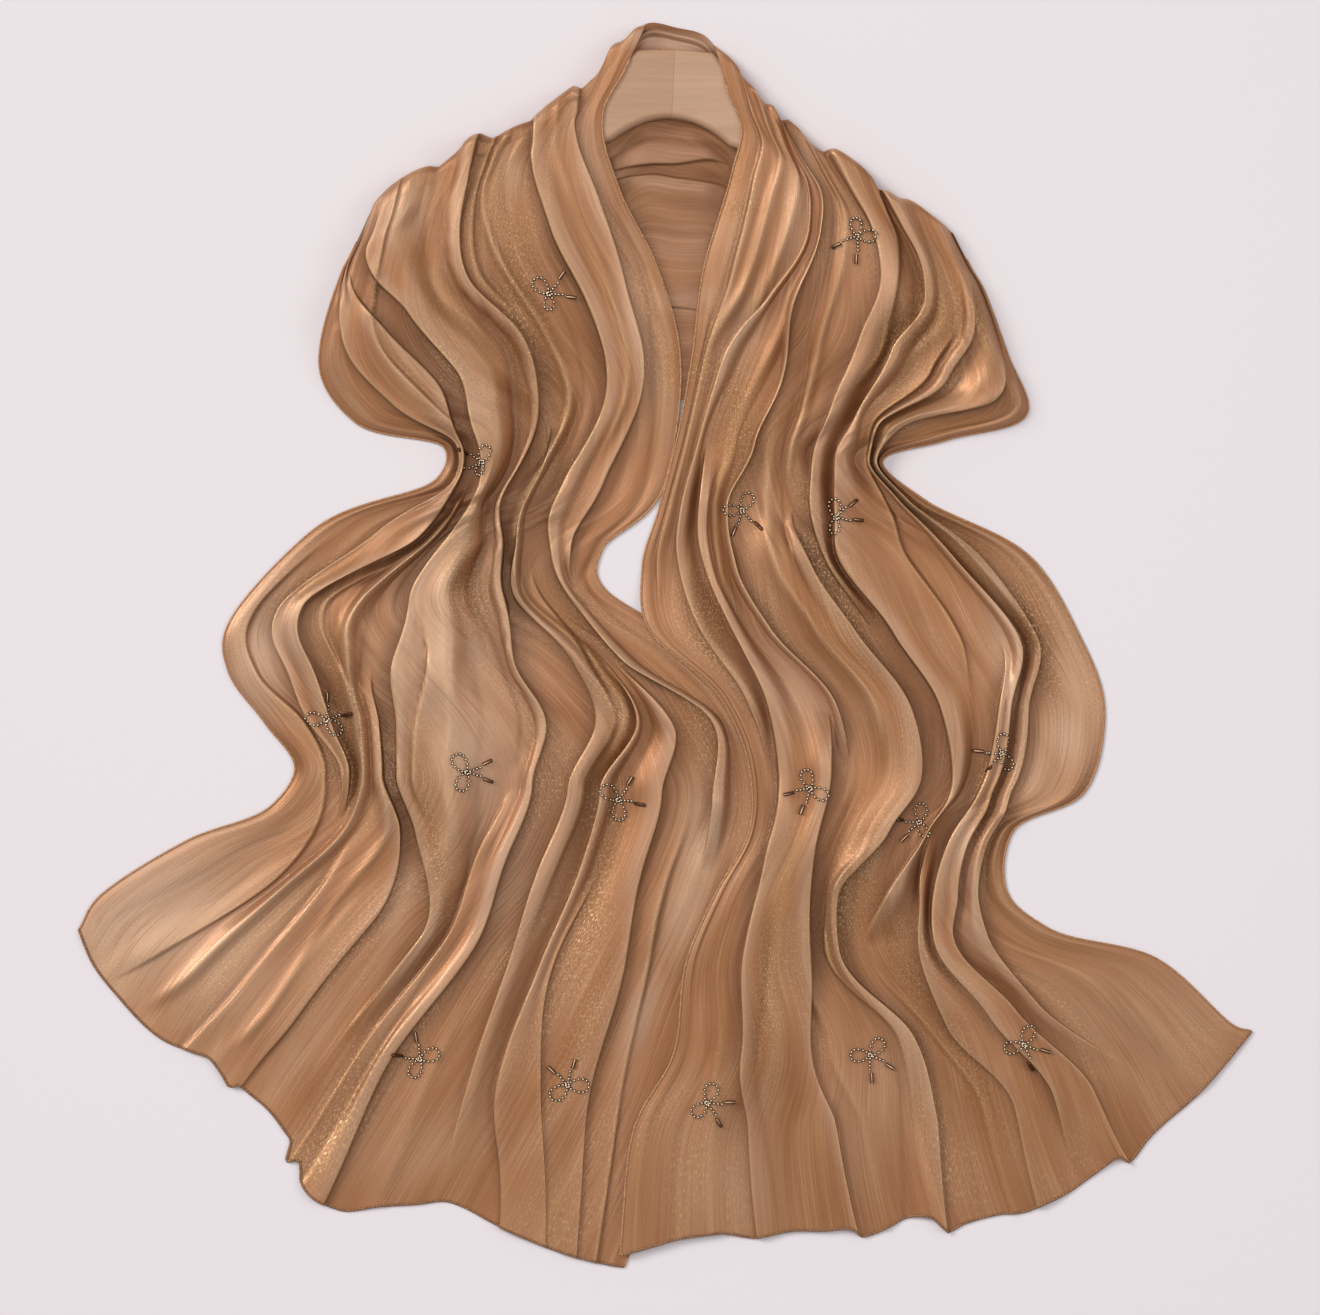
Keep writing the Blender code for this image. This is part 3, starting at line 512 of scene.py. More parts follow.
def crease_form(crease, offset, strength, uneven):
    """Height, painted highlight on the rim and painted shade at the foot of a finer crease, at each
    offset in mm, inwards being plus.
    """
    drop = crease.drop * strength * uneven
    soft = crease.soft
    amount = np.clip(drop / CREASE_FULL, 0, 1)
    if crease.faces == "inner":
        offset = -offset
    if crease.faces in ("inner", "outer"):
        gentle = bell(offset, soft * 1.3)
        sharp = bell(offset, 1.4) - 0.3 * bell(offset + 2.8, 1.9)
        height = drop * np.where(offset > 0, gentle, sharp)
        rim = 0.55 * amount * bell(offset - 0.7, 1.1)
        below = np.minimum(offset + 0.9, 0)
        foot = 0.6 * amount * np.where(offset < -0.9, np.exp(below / 4.0), bell(offset + 0.9, 0.8))
        return height, rim, foot
    # A ridge gets a painted highlight along its line, a valley painted shade.
    shape = bell(offset, soft * 0.75)
    line = bell(offset, soft * 0.4)
    if crease.faces == "ridge":
        return drop * shape, 0.3 * amount * line, 0.0 * line
    return -0.7 * drop * shape, 0.0 * line, 0.5 * amount * line


def column_places(sheet, bounds, lines, width):
    """Shares across the cloth for each row: columns stay locked between the fold lines, and lie
    closer together beside them and at the finer creases."""
    spans = [np.percentile((bounds[k + 1] - bounds[k]) * width, 85) ** 0.75
             for k in range(len(bounds) - 1)]
    total = sum(spans)
    counts = [max(LEAST_COLUMNS, int(sheet.across * span / total)) for span in spans]
    fine = np.linspace(0, 1, DENSITY_SAMPLES)
    blocks = []
    for k, count in enumerate(counts):
        low = bounds[k][:, None]
        high = bounds[k + 1][:, None]
        spot = low + (high - low) * fine[None, :]
        from_low = (spot - low) * width[:, None]
        from_high = (high - spot) * width[:, None]
        density = 0.55 + 2.6 * np.exp(-from_low / 2.2) + 2.6 * np.exp(-from_high / 2.2)
        for line, strength in lines:
            away = (spot - line[:, None]) * width[:, None]
            density = density + 1.3 * strength[:, None] * bell(away, 3.5)
        total_run = np.cumsum((density[:, 1:] + density[:, :-1]) / 2, axis=1)
        total_run = np.concatenate([np.zeros((len(total_run), 1)), total_run], axis=1)
        total_run /= total_run[:, -1:]
        wanted = np.arange(count) / count
        block = np.empty((len(width), count))
        for row in range(len(width)):
            block[row] = np.interp(wanted, total_run[row], spot[row])
        blocks.append(block)
    return np.concatenate(blocks + [np.ones((len(width), 1))], axis=1)


def low_level(sheet, share_mm, width, ground, inner_lift):
    """Height of the cloth without its folds, at distances in mm from the outer edge."""
    edge = smooth(0, EDGE_RUN, share_mm)
    shelf = smooth(width - sheet.shelf_gone, width - sheet.shelf_full, share_mm)
    low = (REST + (ground - REST) * edge) * (1 - shelf)
    return low + np.maximum(inner_lift, ground) * shelf


def fold_knots(sheet, at, width, bounds, relief, lift):
    """Knots of each row's height curve, the rolled edges' tucks, and the folds' edges."""
    zero = np.zeros_like(at)
    knots = []
    tucks = []
    edges = []

    def knot(share, height):
        knots.append((share, lift(share) + height))

    knot(zero, zero)
    knot(np.minimum(EDGE_ROUND / width, bounds[1] * 0.5), sheet.edge_rise * relief)
    for number, fold in enumerate(sheet.folds):
        here = bounds[number + 1]
        before = here - bounds[number]
        after = bounds[number + 2] - here
        strength = fold_strength(sheet.stations, fold, at)
        height = fold.drop * relief * strength
        near = np.minimum(fold.width / width, 0.4 * before)
        far = np.minimum(fold.width / width, 0.4 * after)
        lip = np.minimum(LIP / width, 0.25 * np.minimum(before, after))
        edges.append((here, fold.faces, height))
        if fold.faces == "inner":
            knot(here - near, height * 0.93)
            knot(here - lip, height)
            knot(here - 0.1 * lip, height * 0.80)
            knot(here + 0.6 * lip, height * 0.12)
            knot(here + 1.2 * lip, zero)
            tucks.append((here + 0.8 * lip, height, -1.0, 1.5 * lip, 0.45 * after))
        elif fold.faces == "outer":
            knot(here - 1.2 * lip, zero)
            knot(here - 0.6 * lip, height * 0.12)
            knot(here + 0.1 * lip, height * 0.80)
            knot(here + lip, height)
            knot(here + far, height * 0.93)
            tucks.append((here - 0.8 * lip, height, 1.0, 0.45 * before, 1.5 * lip))
        else:
            knot(here - near, 0.30 * height)
            knot(here, height)
            knot(here + far, 0.30 * height)
        if fold.crown:
            knot(here + after / 2, (fold.drop / 2 + fold.crown) * relief * strength)
    knot(1 - np.minimum(EDGE_ROUND / width, 0.5 * (1 - bounds[-2])), sheet.edge_rise * 0.5 * relief)
    knot(zero + 1, zero)
    return knots, tucks, edges


def leaning(sheet, at, share, width, tucks):
    """How far rolled edges lean over the cloth beside them, as shares of the width."""
    shift = np.zeros_like(share)
    sheet_lean = smooth(*LEAN_RUN, at) if sheet.hem is not NO_HEM else 0.5
    for foot, tall, way, low_side, high_side in tucks:
        room = 0.45 * np.maximum(low_side, high_side) * width
        lean = np.minimum(np.minimum(0.5 * tall, MOST_LEAN), room) * way * sheet_lean
        offset = share - foot[:, None]
        reach_low = np.maximum(low_side, 1e-4)[:, None]
        reach_high = np.maximum(high_side, 1e-4)[:, None]
        falloff = np.where(offset < 0, smooth(-1, 0, offset / reach_low),
                           1 - smooth(0, 1, offset / reach_high))
        shift += lean[:, None] / width[:, None] * falloff
    return shift


# The last two fields hold the painted highlight and the painted shade laid into the colour.
Grid = namedtuple("Grid", "x y z down u v rim shade")


def sheet_grid(sheet, at, base):
    """Fine points of a sheet: the solid's folds with crisp edges, finer creases and crinkle."""
    outer_x, outer_y, inner_x, inner_y, bow, relief, inner_lift = columns(sheet.stations, at)
    width = np.hypot(inner_x - outer_x, inner_y - outer_y)
    along = runs(sheet.stations)
    bounds = [np.zeros_like(at)]
    bounds += [curve(along, fold.at, at) / 100 for fold in sheet.folds]
    bounds += [np.ones_like(at)]
    ground = base(at)
    zero = np.zeros_like(at)

    def lift(share):
        return low_level(sheet, share * width, width, ground, inner_lift)

    knots, tucks, edges = fold_knots(sheet, at, width, bounds, relief, lift)
    knot_share = np.stack([k[0] for k in knots], axis=1)
    knot_height = np.stack([k[1] for k in knots], axis=1)

    creases = []
    for number, crease in enumerate(sheet.creases):
        line = curve(along, crease.at, at) / 100
        wander = WANDER * noise(at, zero + number, 75, 1, sheet.seed + 41)
        creases.append((crease, line - wander / width, fold_strength(sheet.stations, crease, at)))
    share = column_places(sheet, bounds, [(line, strength) for _, line, strength in creases], width)
    height = np.empty_like(share)
    for row in range(len(at)):
        height[row] = curve(knot_share[row], knot_height[row], share[row])

    grain_u = share * GRAIN_WIDTH
    grain_v = np.repeat(at[:, None], share.shape[1], axis=1)
    from_outer = share * width[:, None]
    edge = smooth(0, 10, from_outer) * smooth(0, 8, (1 - share) * width[:, None])
    extra = np.zeros_like(share)
    rim = np.zeros_like(share)
    clear = np.ones_like(share)
    # Each finer crease adds its height, a painted highlight on its rim and painted shade at its foot.
    for number, (crease, line, strength) in enumerate(creases):
        uneven = 1.0 + 0.35 * noise(at, zero + number, 60, 1, sheet.seed + 40)[:, None]
        offset = (share - line[:, None]) * width[:, None]
        stands = (strength * (0.35 + 0.65 * relief))[:, None]
        added, bright, dark = crease_form(crease, offset, stands, uneven)
        extra += added
        rim = np.maximum(rim, bright)
        clear *= 1 - np.clip(dark, 0, 0.9)
    # Rolled fold edges: painted highlight along the lip, painted shade at the foot and beside it.
    for number, (here, faces, tall) in enumerate(edges):
        offset = (share - here[:, None]) * width[:, None]
        if faces == "inner":
            offset = -offset
        amount = np.clip(tall / FOLD_FULL, 0, 1)[:, None]
        amount = amount * (1.0 + 0.3 * noise(at, zero + number, 45, 1, sheet.seed + 60)[:, None])
        if faces == "ridge":
            rim = np.maximum(rim, 0.3 * amount * bell(offset, 2.5))
            continue
        rim = np.maximum(rim, 0.8 * amount * bell(offset - 1.0, 1.0))
        below = np.minimum(offset + 1.0, 0)
        dark = np.where(offset < -1.0, 0.55 * np.exp(below / 8.0) + 0.35 * np.exp(below / 1.2),
                        0.90 * bell(offset + 1.0, 0.8))
        clear *= 1 - np.clip(dark * amount, 0, 0.92)
    gather = (0.35 + 0.65 * relief)[:, None]
    crinkle = 0.0
    for number, (tall, step_u, step_v) in enumerate(CRINKLE, 1):
        crinkle = crinkle + tall * noise(grain_u, grain_v, step_u, step_v, sheet.seed + number)
    swell = SWELL * noise(grain_u, grain_v, 24, 120, sheet.seed + 4)
    extra += (crinkle * gather + swell * relief[:, None]) * edge
    height = height + extra * edge
    lowest = low_level(sheet, from_outer, width[:, None], ground[:, None], inner_lift[:, None])
    height = np.maximum(height, lowest - 0.2)
    height = np.maximum(height, REST * 0.5)

    moved = share + leaning(sheet, at, share, width, tucks)
    chord = np.stack([inner_x - outer_x, inner_y - outer_y], axis=1) / width[:, None]
    down = np.stack([chord[:, 1], -chord[:, 0]], axis=1) * sheet.side
    plain = 4 * (sheet.hem_sag - bow[-1]) * share * (1 - share) if sheet.hem is not NO_HEM else 0.0
    hem = smooth(along[-1] - HEM_RUN, along[-1], at)
    reach = (reach_curve(sheet.hem, share) + plain) * hem[:, None]
    sag = 4 * bow[:, None] * moved * (1 - moved) + reach
    x = outer_x[:, None] + moved * (inner_x - outer_x)[:, None] + sag * down[:, :1]
    y = outer_y[:, None] + moved * (inner_y - outer_y)[:, None] + sag * down[:, 1:]
    return Grid(x, y, height, down, grain_u, grain_v, np.clip(rim, 0, 1), np.clip(1 - clear, 0, 1))


# How high the fronts' low places lie, by distance from the shoulder line:
# over the yoke, down past its lower edge to the back stretch, then on the surface
FRONT_BASE_RUN = (0.0, 85.0, 105.0, 150.0, 195.0, 235.0, 270.0, 2000.0)
FRONT_BASE_LIFT = (ON_HANGER, ON_HANGER, ON_HANGER - 0.5, 8.6, 4.6, ON_CLOTH, REST, REST)

# The roll round the yoke's upper edge: inset from the shoulder line and height of its lower
# points, the inset of its top, and the distances along the roll at which these lie
ROLL = ((2.4, 1.6), (0.2, 4.8), (0.8, 9.6))
ROLL_OVER = 5.6
ROLL_KNOTS = (0.0, 3.6, 8.4, 14.5, 20.5, 22.5)
ROLL_ROWS = 14
FIRST_ROW = 20.0


def front_base(at):
    """Height of what a front lies on, from the yoke down to the surface."""
    return curve(FRONT_BASE_RUN, FRONT_BASE_LIFT, at)


def flat_base(at):
    """The back stretch's own base, which is the surface."""
    return np.full_like(at, REST)


# How far the shoulder line stands out from the straight line between its ends, in mm,
# at these percentages from the outer to the inner edge
LEFT_SHOULDER = (
    Reach(0, -3), Reach(5, 3), Reach(12.7, 5.7), Reach(17, 5.4), Reach(23.4, 2.6), Reach(26, -1.6),
    Reach(28.5, -1.0), Reach(33, 0.2), Reach(37.5, 3.0), Reach(40.8, 1.4), Reach(43.5, -5.4),
    Reach(48, -6.3), Reach(52.3, -7.2), Reach(56.5, -9.4), Reach(61.7, -8.2), Reach(66.5, -7.4),
    Reach(71.5, -6.5), Reach(73.6, -10.6), Reach(76.7, -9.2), Reach(79.5, -8.2), Reach(83, -4.1),
    Reach(88.8, 3.2), Reach(91.5, 1.7), Reach(96.8, 4), Reach(100, 2),
)
RIGHT_SHOULDER = (
    Reach(0, -1), Reach(8.6, -0.8), Reach(14, -0.9), Reach(18.3, -2.8), Reach(21, -6.6),
    Reach(24, -7.6), Reach(28.3, -10), Reach(32.8, -6.2), Reach(37.6, -5), Reach(41.6, -5.3),
    Reach(45.6, -6), Reach(48.2, -8), Reach(50.2, -13.4), Reach(53.7, -13.8), Reach(58.2, -12.8),
    Reach(62.4, -10.9), Reach(65.6, -10.9), Reach(67.3, -15), Reach(72.4, -10.2), Reach(75, -12),
    Reach(80.8, -9), Reach(86, -7.4), Reach(89.6, -4), Reach(94.6, -2.4), Reach(100, -2.5),
)
# The shoulder line's waves fade out by the first distance, and the rows are evenly spaced
# up to the second
SHOULDER_FADE = 80.0
SHOULDER_EVEN = 60.0


def front_grid(sheet, shoulder):
    """Points of a front: the roll round the yoke's upper edge, then the rows down to the hem."""
    along = runs(sheet.stations)
    at = np.concatenate(([0.0], np.linspace(FIRST_ROW, along[-1], sheet.rows)))
    grid = sheet_grid(sheet, at, front_base)
    x, y, z, down = grid.x.copy(), grid.y.copy(), grid.z, grid.down
    share = grid.u / GRAIN_WIDTH
    out = reach_curve(shoulder, share) * (1 - smooth(0, SHOULDER_FADE, at))[:, None]
    x -= out * down[:, :1]
    y -= out * down[:, 1:]
    last = int(np.searchsorted(at, SHOULDER_EVEN))
    for row in range(1, last):
        part = at[row] / at[last]
        keep = smooth(0.5 * SHOULDER_EVEN, SHOULDER_EVEN, at[row])
        x[row] = keep * x[row] + (1 - keep) * (x[0] + part * (x[last] - x[0]))
        y[row] = keep * y[row] + (1 - keep) * (y[0] + part * (y[last] - y[0]))
    crest = np.maximum(z[0] - ON_HANGER, 0.0)
    even = np.convolve(np.pad(crest, 9, mode="edge"), np.ones(19) / 19, mode="valid")
    out = even * 0.3
    length = np.hypot(x[1] - x[0], y[1] - y[0])
    size = np.minimum(1.0, 0.6 * length / ROLL_OVER) / length
    way_x = (x[1] - x[0]) * size
    way_y = (y[1] - y[0]) * size
    controls = []
    for inset, height in ROLL:
        part = (height - ROLL[0][1]) / ON_HANGER
        controls.append((x[0] + way_x * (inset - out), y[0] + way_y * (inset - out),
                         np.minimum(z[0], height + crest * part)))
    controls.append((x[0] + way_x * ROLL_OVER, y[0] + way_y * ROLL_OVER, z[0]))
    controls += [(x[row], y[row], z[row]) for row in (1, 2)]
    fine = np.linspace(0.0, ROLL_KNOTS[4], ROLL_ROWS)[:-1]
    roll_x, roll_y, roll_z = [curve(ROLL_KNOTS, np.array(values), fine) for values in zip(*controls)]
    roll_v = np.repeat((fine - 4.0)[:, None], x.shape[1], axis=1)

    def rolled(values):
        return np.vstack([np.repeat(values[:1], len(fine), axis=0), values[1:]])

    return Grid(np.vstack([roll_x, x[1:]]), np.vstack([roll_y, y[1:]]), np.vstack([roll_z, z[1:]]), down,
                rolled(grid.u), np.vstack([roll_v, grid.v[1:]]), rolled(grid.rim), rolled(grid.shade))


def flat_grid(sheet):
    """Points of a sheet with no roll."""
    along = runs(sheet.stations)
    at = np.linspace(0.0, along[-1], sheet.rows)
    return sheet_grid(sheet, at, flat_base)


def place(x, y):
    """Layout millimetres to metres in the part's own frame."""
    return (x - LAYOUT_CENTRE[0]) * MM, (y - LAYOUT_CENTRE[1]) * MM


def from_photo(at_px, at_py):
    """The photograph's pixels to layout millimetres."""
    return (at_px - PHOTO_SIZE[0] / 2) * PHOTO_MM, (PHOTO_SIZE[1] / 2 - at_py) * PHOTO_MM


# Soft patches of tone: the middle in the photograph's pixels, half-lengths along and across
# in mm, the long way's turn in degrees counted from the right, and the strength.
# Pale ones are where few layers lie, with painted highlight where the satin catches the light.
Patch = namedtuple("Patch", "name at_px at_py long short turn strength")
PALE_AND_HIGHLIGHT = (
    Patch("left corner",          150,  920, 80, 45,  35, 1.00),
    Patch("left corner low",      235,  965, 60, 38,  45, 0.50),
    Patch("left bulge rim",       262,  640, 62, 26,  80, 0.75),
    Patch("light panel",          452,  640, 75, 38,  80, 0.85),
    Patch("light panel middle",   470,  750, 60, 36,  90, 0.70),
    Patch("light panel low",      505,  880, 45, 18,  78, 0.40),
    Patch("left shoulder",        400,  215, 24, 17,  40, 0.70),
    Patch("left sleeve",          468,  385, 34, 13, 120, 0.35),
    Patch("small shoulder",       512,  178, 16,  8,  90, 0.60),
    Patch("collar",               592,  170, 55,  9, 100, 0.35),
    Patch("collar low",           640,  330, 60, 11, 105, 0.45),
    Patch("right collar",         800,  200, 50,  8,  80, 0.50),
    Patch("right flap",           745,  330, 30, 12,  70, 0.45),
    Patch("centre stream",        700,  840, 50, 15,  85, 0.65),
    Patch("centre stream low",    685,  905, 40, 16,  75, 0.55),
    Patch("hem stream",           640, 1015, 35, 10,  70, 0.65),
    Patch("right panel",          800,  690, 42, 14, 130, 0.50),
    Patch("right bulge streak",  1008,  650, 50, 11, 100, 0.70),
    Patch("right bulge rim",     1075,  700, 60, 18,  95, 0.50),
    Patch("right rim low",       1040,  775, 30, 16,  80, 0.50),
    Patch("right waist",          968,  870, 45,  8,  95, 0.75),
    Patch("right corner",        1180, 1010, 50, 40, -30, 0.30),
    Patch("hem right",            870, 1110, 50, 30,  80, 0.25),
    Patch("hem left fold",        400, 1000, 70, 10,  60, 0.45),
    Patch("left bundle",          400,  905, 40,  8,  70, 0.40),
    Patch("nape",                 690,  235, 60, 18,   0, 0.20),
    Patch("band over the yoke",   682,   43, 42,  6,  -4, 1.00),
    Patch("nape low panel",       655,  182, 26,  5,  -6, 0.45),
    Patch("nape high panel",      655,  157, 22,  6,   0, 0.25),
    Patch("nape low light",       680,  300, 34,  9,   0, 0.35),
    Patch("hem low left",         420, 1150, 55, 22,  15, 0.25),
    Patch("right bulge window",  1066,  735, 28, 16, 100, 0.90),
    Patch("left hem panel",       300, 1050, 45, 12,  55, 0.30),
    Patch("middle hem panel",     740, 1185, 40, 34,  90, 0.30),
    Patch("right corner wide",   1140, 1025, 70, 36, -40, 0.32),
)
# Deep ones are darker where more layers lie, and carry painted shade in hollows and under the yoke.
DEEP_AND_SHADE = (
    Patch("shoulder panel",       520,  290, 78, 17,  97, 0.80),
    Patch("sleeve line",          450,  350, 50,  8, 125, 0.45),
    Patch("left pinch",           470,  590, 42, 14, 100, 0.90),
    Patch("collar shade",         560,  430, 50, 14,  90, 0.45),
    Patch("front streak",         737,  425, 48, 14,  85, 0.90),
    Patch("front streak low",     708,  620, 32, 10, 105, 0.75),
    Patch("right shoulder",       922,  320, 42, 24,  50, 0.75),
    Patch("right side panel",     850,  610, 70, 15, 115, 0.45),
    Patch("middle panel",         600,  865, 60, 13,  80, 0.60),
    Patch("middle panel high",    590,  660, 50, 10, 115, 0.50),
    Patch("deep right",           850,  890, 45, 18,  80, 0.70),
    Patch("streak right",         905,  965, 60,  9, 110, 0.50),
    Patch("centre low streak",    765,  985, 60, 10,  85, 0.60),
    Patch("left low streak",      432,  835, 60,  8,  98, 0.65),
    Patch("left hem shade",       350, 1085, 70, 14,  60, 0.50),
    Patch("bulge left bundle",    345,  720, 60, 11,  95, 0.50),
    Patch("right bulge shade",   1045,  660, 50, 10, 105, 0.60),
    Patch("left bulge shade",     300,  590, 42, 10,  40, 0.45),
    Patch("right waist shade",    985,  835, 40,  8,  95, 0.60),
    Patch("hem centre shade",     590, 1010, 60, 18,  75, 0.40),
    Patch("hem far right",        965, 1055, 60, 12, 115, 0.35),
    Patch("low nape",             690,  370, 30, 20,   0, 0.45),
    Patch("band top",             682,   29, 40,  3,  -6, 1.00),
    Patch("yoke shadow left",     630,  139, 16,  5,  28, 1.00),
    Patch("yoke shadow middle",   667,  127, 22,  5,   0, 1.00),
    Patch("yoke shadow right",    710,  142, 20,  5, -32, 1.00),
    Patch("nape fan",             715,  176, 16,  5, -12, 0.80),
    Patch("nape gold band",       700,  204, 34,  6,  -8, 0.80),
    Patch("centre join",          705,  740, 45, 14, 110, 0.45),
    Patch("right sleeve",         960,  320, 38, 24,  60, 0.70),
    Patch("right bulge gold",    1030,  627, 36,  7, 112, 0.90),
    Patch("right bulge upper",    954,  530, 40, 11, -35, 0.55),
    Patch("right bulge low",     1085,  784, 18, 10,  80, 0.45),
)


def patch_amount(patches, x, y):
    """The strongest of the soft patches at each point, given in layout mm."""
    amount = np.zeros_like(x)
    for patch in patches:
        turn = math.radians(patch.turn)
        middle_x, middle_y = from_photo(patch.at_px, patch.at_py)
        dx = x - middle_x
        dy = y - middle_y
        a = dx * math.cos(turn) + dy * math.sin(turn)
        b = -dx * math.sin(turn) + dy * math.cos(turn)
        spread = np.exp(-(a / patch.long) ** 2 - (b / patch.short) ** 2)
        amount = np.maximum(amount, patch.strength * spread)
    return amount


def rise_above(grid, reach):
    """How far each point stands above the cloth around it across the fold lines, in mm."""
    rise = np.empty_like(grid.z)
    kernel = bell(np.arange(-3 * reach, 3 * reach + 1), reach)
    for row in range(grid.z.shape[0]):
        run = np.concatenate(([0.0], np.cumsum(np.hypot(np.diff(grid.x[row]), np.diff(grid.y[row])))))
        even = np.arange(0.0, run[-1], 1.0)
        level = np.interp(even, run, grid.z[row])
        wide = np.convolve(np.pad(level, 3 * reach, mode="edge"), kernel / kernel.sum(), mode="valid")
        rise[row] = grid.z[row] - np.interp(run, even, wide)
    return rise


def cloth_tones(grid):
    """Painted highlight on rims, painted shade at feet and in hollows, and the pale and deep amounts at
    each point.
    """
    rise = rise_above(grid, RISE_REACH)
    along_row = np.hypot(np.gradient(grid.x, axis=1), np.gradient(grid.y, axis=1)) + 0.05
    steep = np.abs(np.gradient(grid.z, axis=1) / along_row)
    streaky = 1 + 0.22 * noise(grid.u, grid.v, 14, 90, 71) + 0.10 * noise(grid.u, grid.v, 5, 60, 72)
    pale_and_highlight = patch_amount(PALE_AND_HIGHLIGHT, grid.x, grid.y) * (1 - 0.7 * smooth(0.35, 1.0, steep)) * streaky
    deep_and_shade = patch_amount(DEEP_AND_SHADE, grid.x, grid.y) * streaky
    # Raised places get painted highlight, and hollows painted shade.
    pale_and_highlight = pale_and_highlight + 0.42 * smooth(0.2, 3.0, rise) * streaky
    shade = 1 - (1 - grid.shade) * (1 - 0.42 * smooth(0.2, 3.4, -rise))
    return grid.rim, shade, np.clip(pale_and_highlight, 0, 1), np.clip(deep_and_shade, 0, 1)


def add_object(name, data):
    """A new object, linked to the scene."""
    thing = bpy.data.objects.new(name, data)
    bpy.context.scene.collection.objects.link(thing)
    return thing


def add_mesh(name, verts, faces, finish):
    """A smooth-shaded object from its points and faces."""
    mesh = bpy.data.meshes.new(name)
    mesh.from_pydata(verts, [], faces)
    mesh.update()
    mesh.shade_smooth()
    mesh.materials.append(finish)
    return add_object(name, mesh)


def add_built(name, build, finish):
    """A smooth-shaded object from an edited mesh, which is then freed."""
    mesh = bpy.data.meshes.new(name)
    build.to_mesh(mesh)
    build.free()
    mesh.shade_smooth()
    mesh.materials.append(finish)
    return add_object(name, mesh)


def cloth_piece(name, grid, finish, node):
    """One sheet of cloth from its grid of points, with its grain as a UV map."""
    px, py = place(grid.x, grid.y)
    rows, across = grid.x.shape
    verts = np.stack([px, py, grid.z * MM], axis=2).reshape(-1, 3)
    index = np.arange(rows * across).reshape(rows, across)
    quads = np.stack([index[:-1, :-1], index[1:, :-1], index[1:, 1:], index[:-1, 1:]], axis=2)
    quads = quads.reshape(-1, 4)
    a, b, c = verts[quads[:, 0]], verts[quads[:, 1]], verts[quads[:, 2]]
    if np.cross(b - a, c - a)[:, 2].sum() < 0:
        quads = quads[:, ::-1]
    thing = add_mesh(name, verts.tolist(), quads.tolist(), finish)
    mesh = thing.data
    grain = mesh.uv_layers.new(name="grain")
    corners = np.empty(len(mesh.loops), dtype=np.int32)
    mesh.loops.foreach_get("vertex_index", corners)
    uv = np.stack([grid.u.reshape(-1) * MM, grid.v.reshape(-1) * MM], axis=1)
    grain.data.foreach_set("uv", uv[corners].astype(np.float32).reshape(-1))
    tones = mesh.attributes.new("tones", "FLOAT_COLOR", "POINT")
    colour = np.stack(cloth_tones(grid), axis=2).reshape(-1)
    tones.data.foreach_set("color", colour.astype(np.float32))
    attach(thing, "root")
    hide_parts(node)
    return thing


def tube(name, path, radius, finish):
    """A closed, slightly flattened tube along a path of points in metres."""
    path = np.asarray(path, float)
    along = np.gradient(path, axis=0)
    along /= np.linalg.norm(along, axis=1)[:, None] + 1e-12
    side = np.cross(along, np.array([0.0, 0.0, 1.0]))
    side /= np.linalg.norm(side, axis=1)[:, None] + 1e-12
    up = np.cross(side, along)
    sides = TUBE_SIDES
    turns = np.linspace(0, 2 * math.pi, sides, endpoint=False)
    ring = (path[:, None, :] + radius * np.cos(turns)[None, :, None] * side[:, None, :]
            + radius * TUBE_SQUASH * np.sin(turns)[None, :, None] * up[:, None, :])
    verts = ring.reshape(-1, 3)
    faces = []
    for j in range(len(path) - 1):
        for i in range(sides):
            k = (i + 1) % sides
            faces.append((j * sides + i, j * sides + k, (j + 1) * sides + k, (j + 1) * sides + i))
    faces.append(tuple(range(sides - 1, -1, -1)))
    last = (len(path) - 1) * sides
    faces.append(tuple(range(last, last + sides)))
    return add_mesh(name, verts.tolist(), faces, finish)


def spread(path, step):
    """Points at even distances along a path."""
    length = np.concatenate(([0.0], np.cumsum(np.linalg.norm(np.diff(path, axis=0), axis=1))))
    count = max(2, int(length[-1] / step))
    places = np.linspace(0, length[-1], count)
    return np.stack([np.interp(places, length, path[:, k]) for k in range(3)], axis=1)


def rolled_piece(name, path, radius, finish):
    """A narrow rolled edge along one line of a sheet's points."""
    path = spread(path, TUBE_STEP * MM)
    path[:, 2] = np.maximum(path[:, 2], radius * TUBE_SQUASH * MM)
    thing = tube(name, path, radius * MM, finish)
    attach(thing, "root")
    return thing


def edge_pieces(side, grid, hem_finish, selvage_finish):
    """The rolled hem at the cut end, and the two long sides' rolled edges."""
    px, py = place(grid.x, grid.y)
    points = np.stack([px, py, (grid.z + TUBE_LIFT) * MM], axis=2)
    hem = rolled_piece(side + "_hem", points[-1, :], HEM_RADIUS, hem_finish)
    outer = rolled_piece(side + "_outer_edge", points[ROLL_ROWS:, 0], SELVAGE_RADIUS, selvage_finish)
    inner = rolled_piece(side + "_inner_edge", points[ROLL_ROWS:, -1], SELVAGE_RADIUS, selvage_finish)
    return [hem, outer, inner]


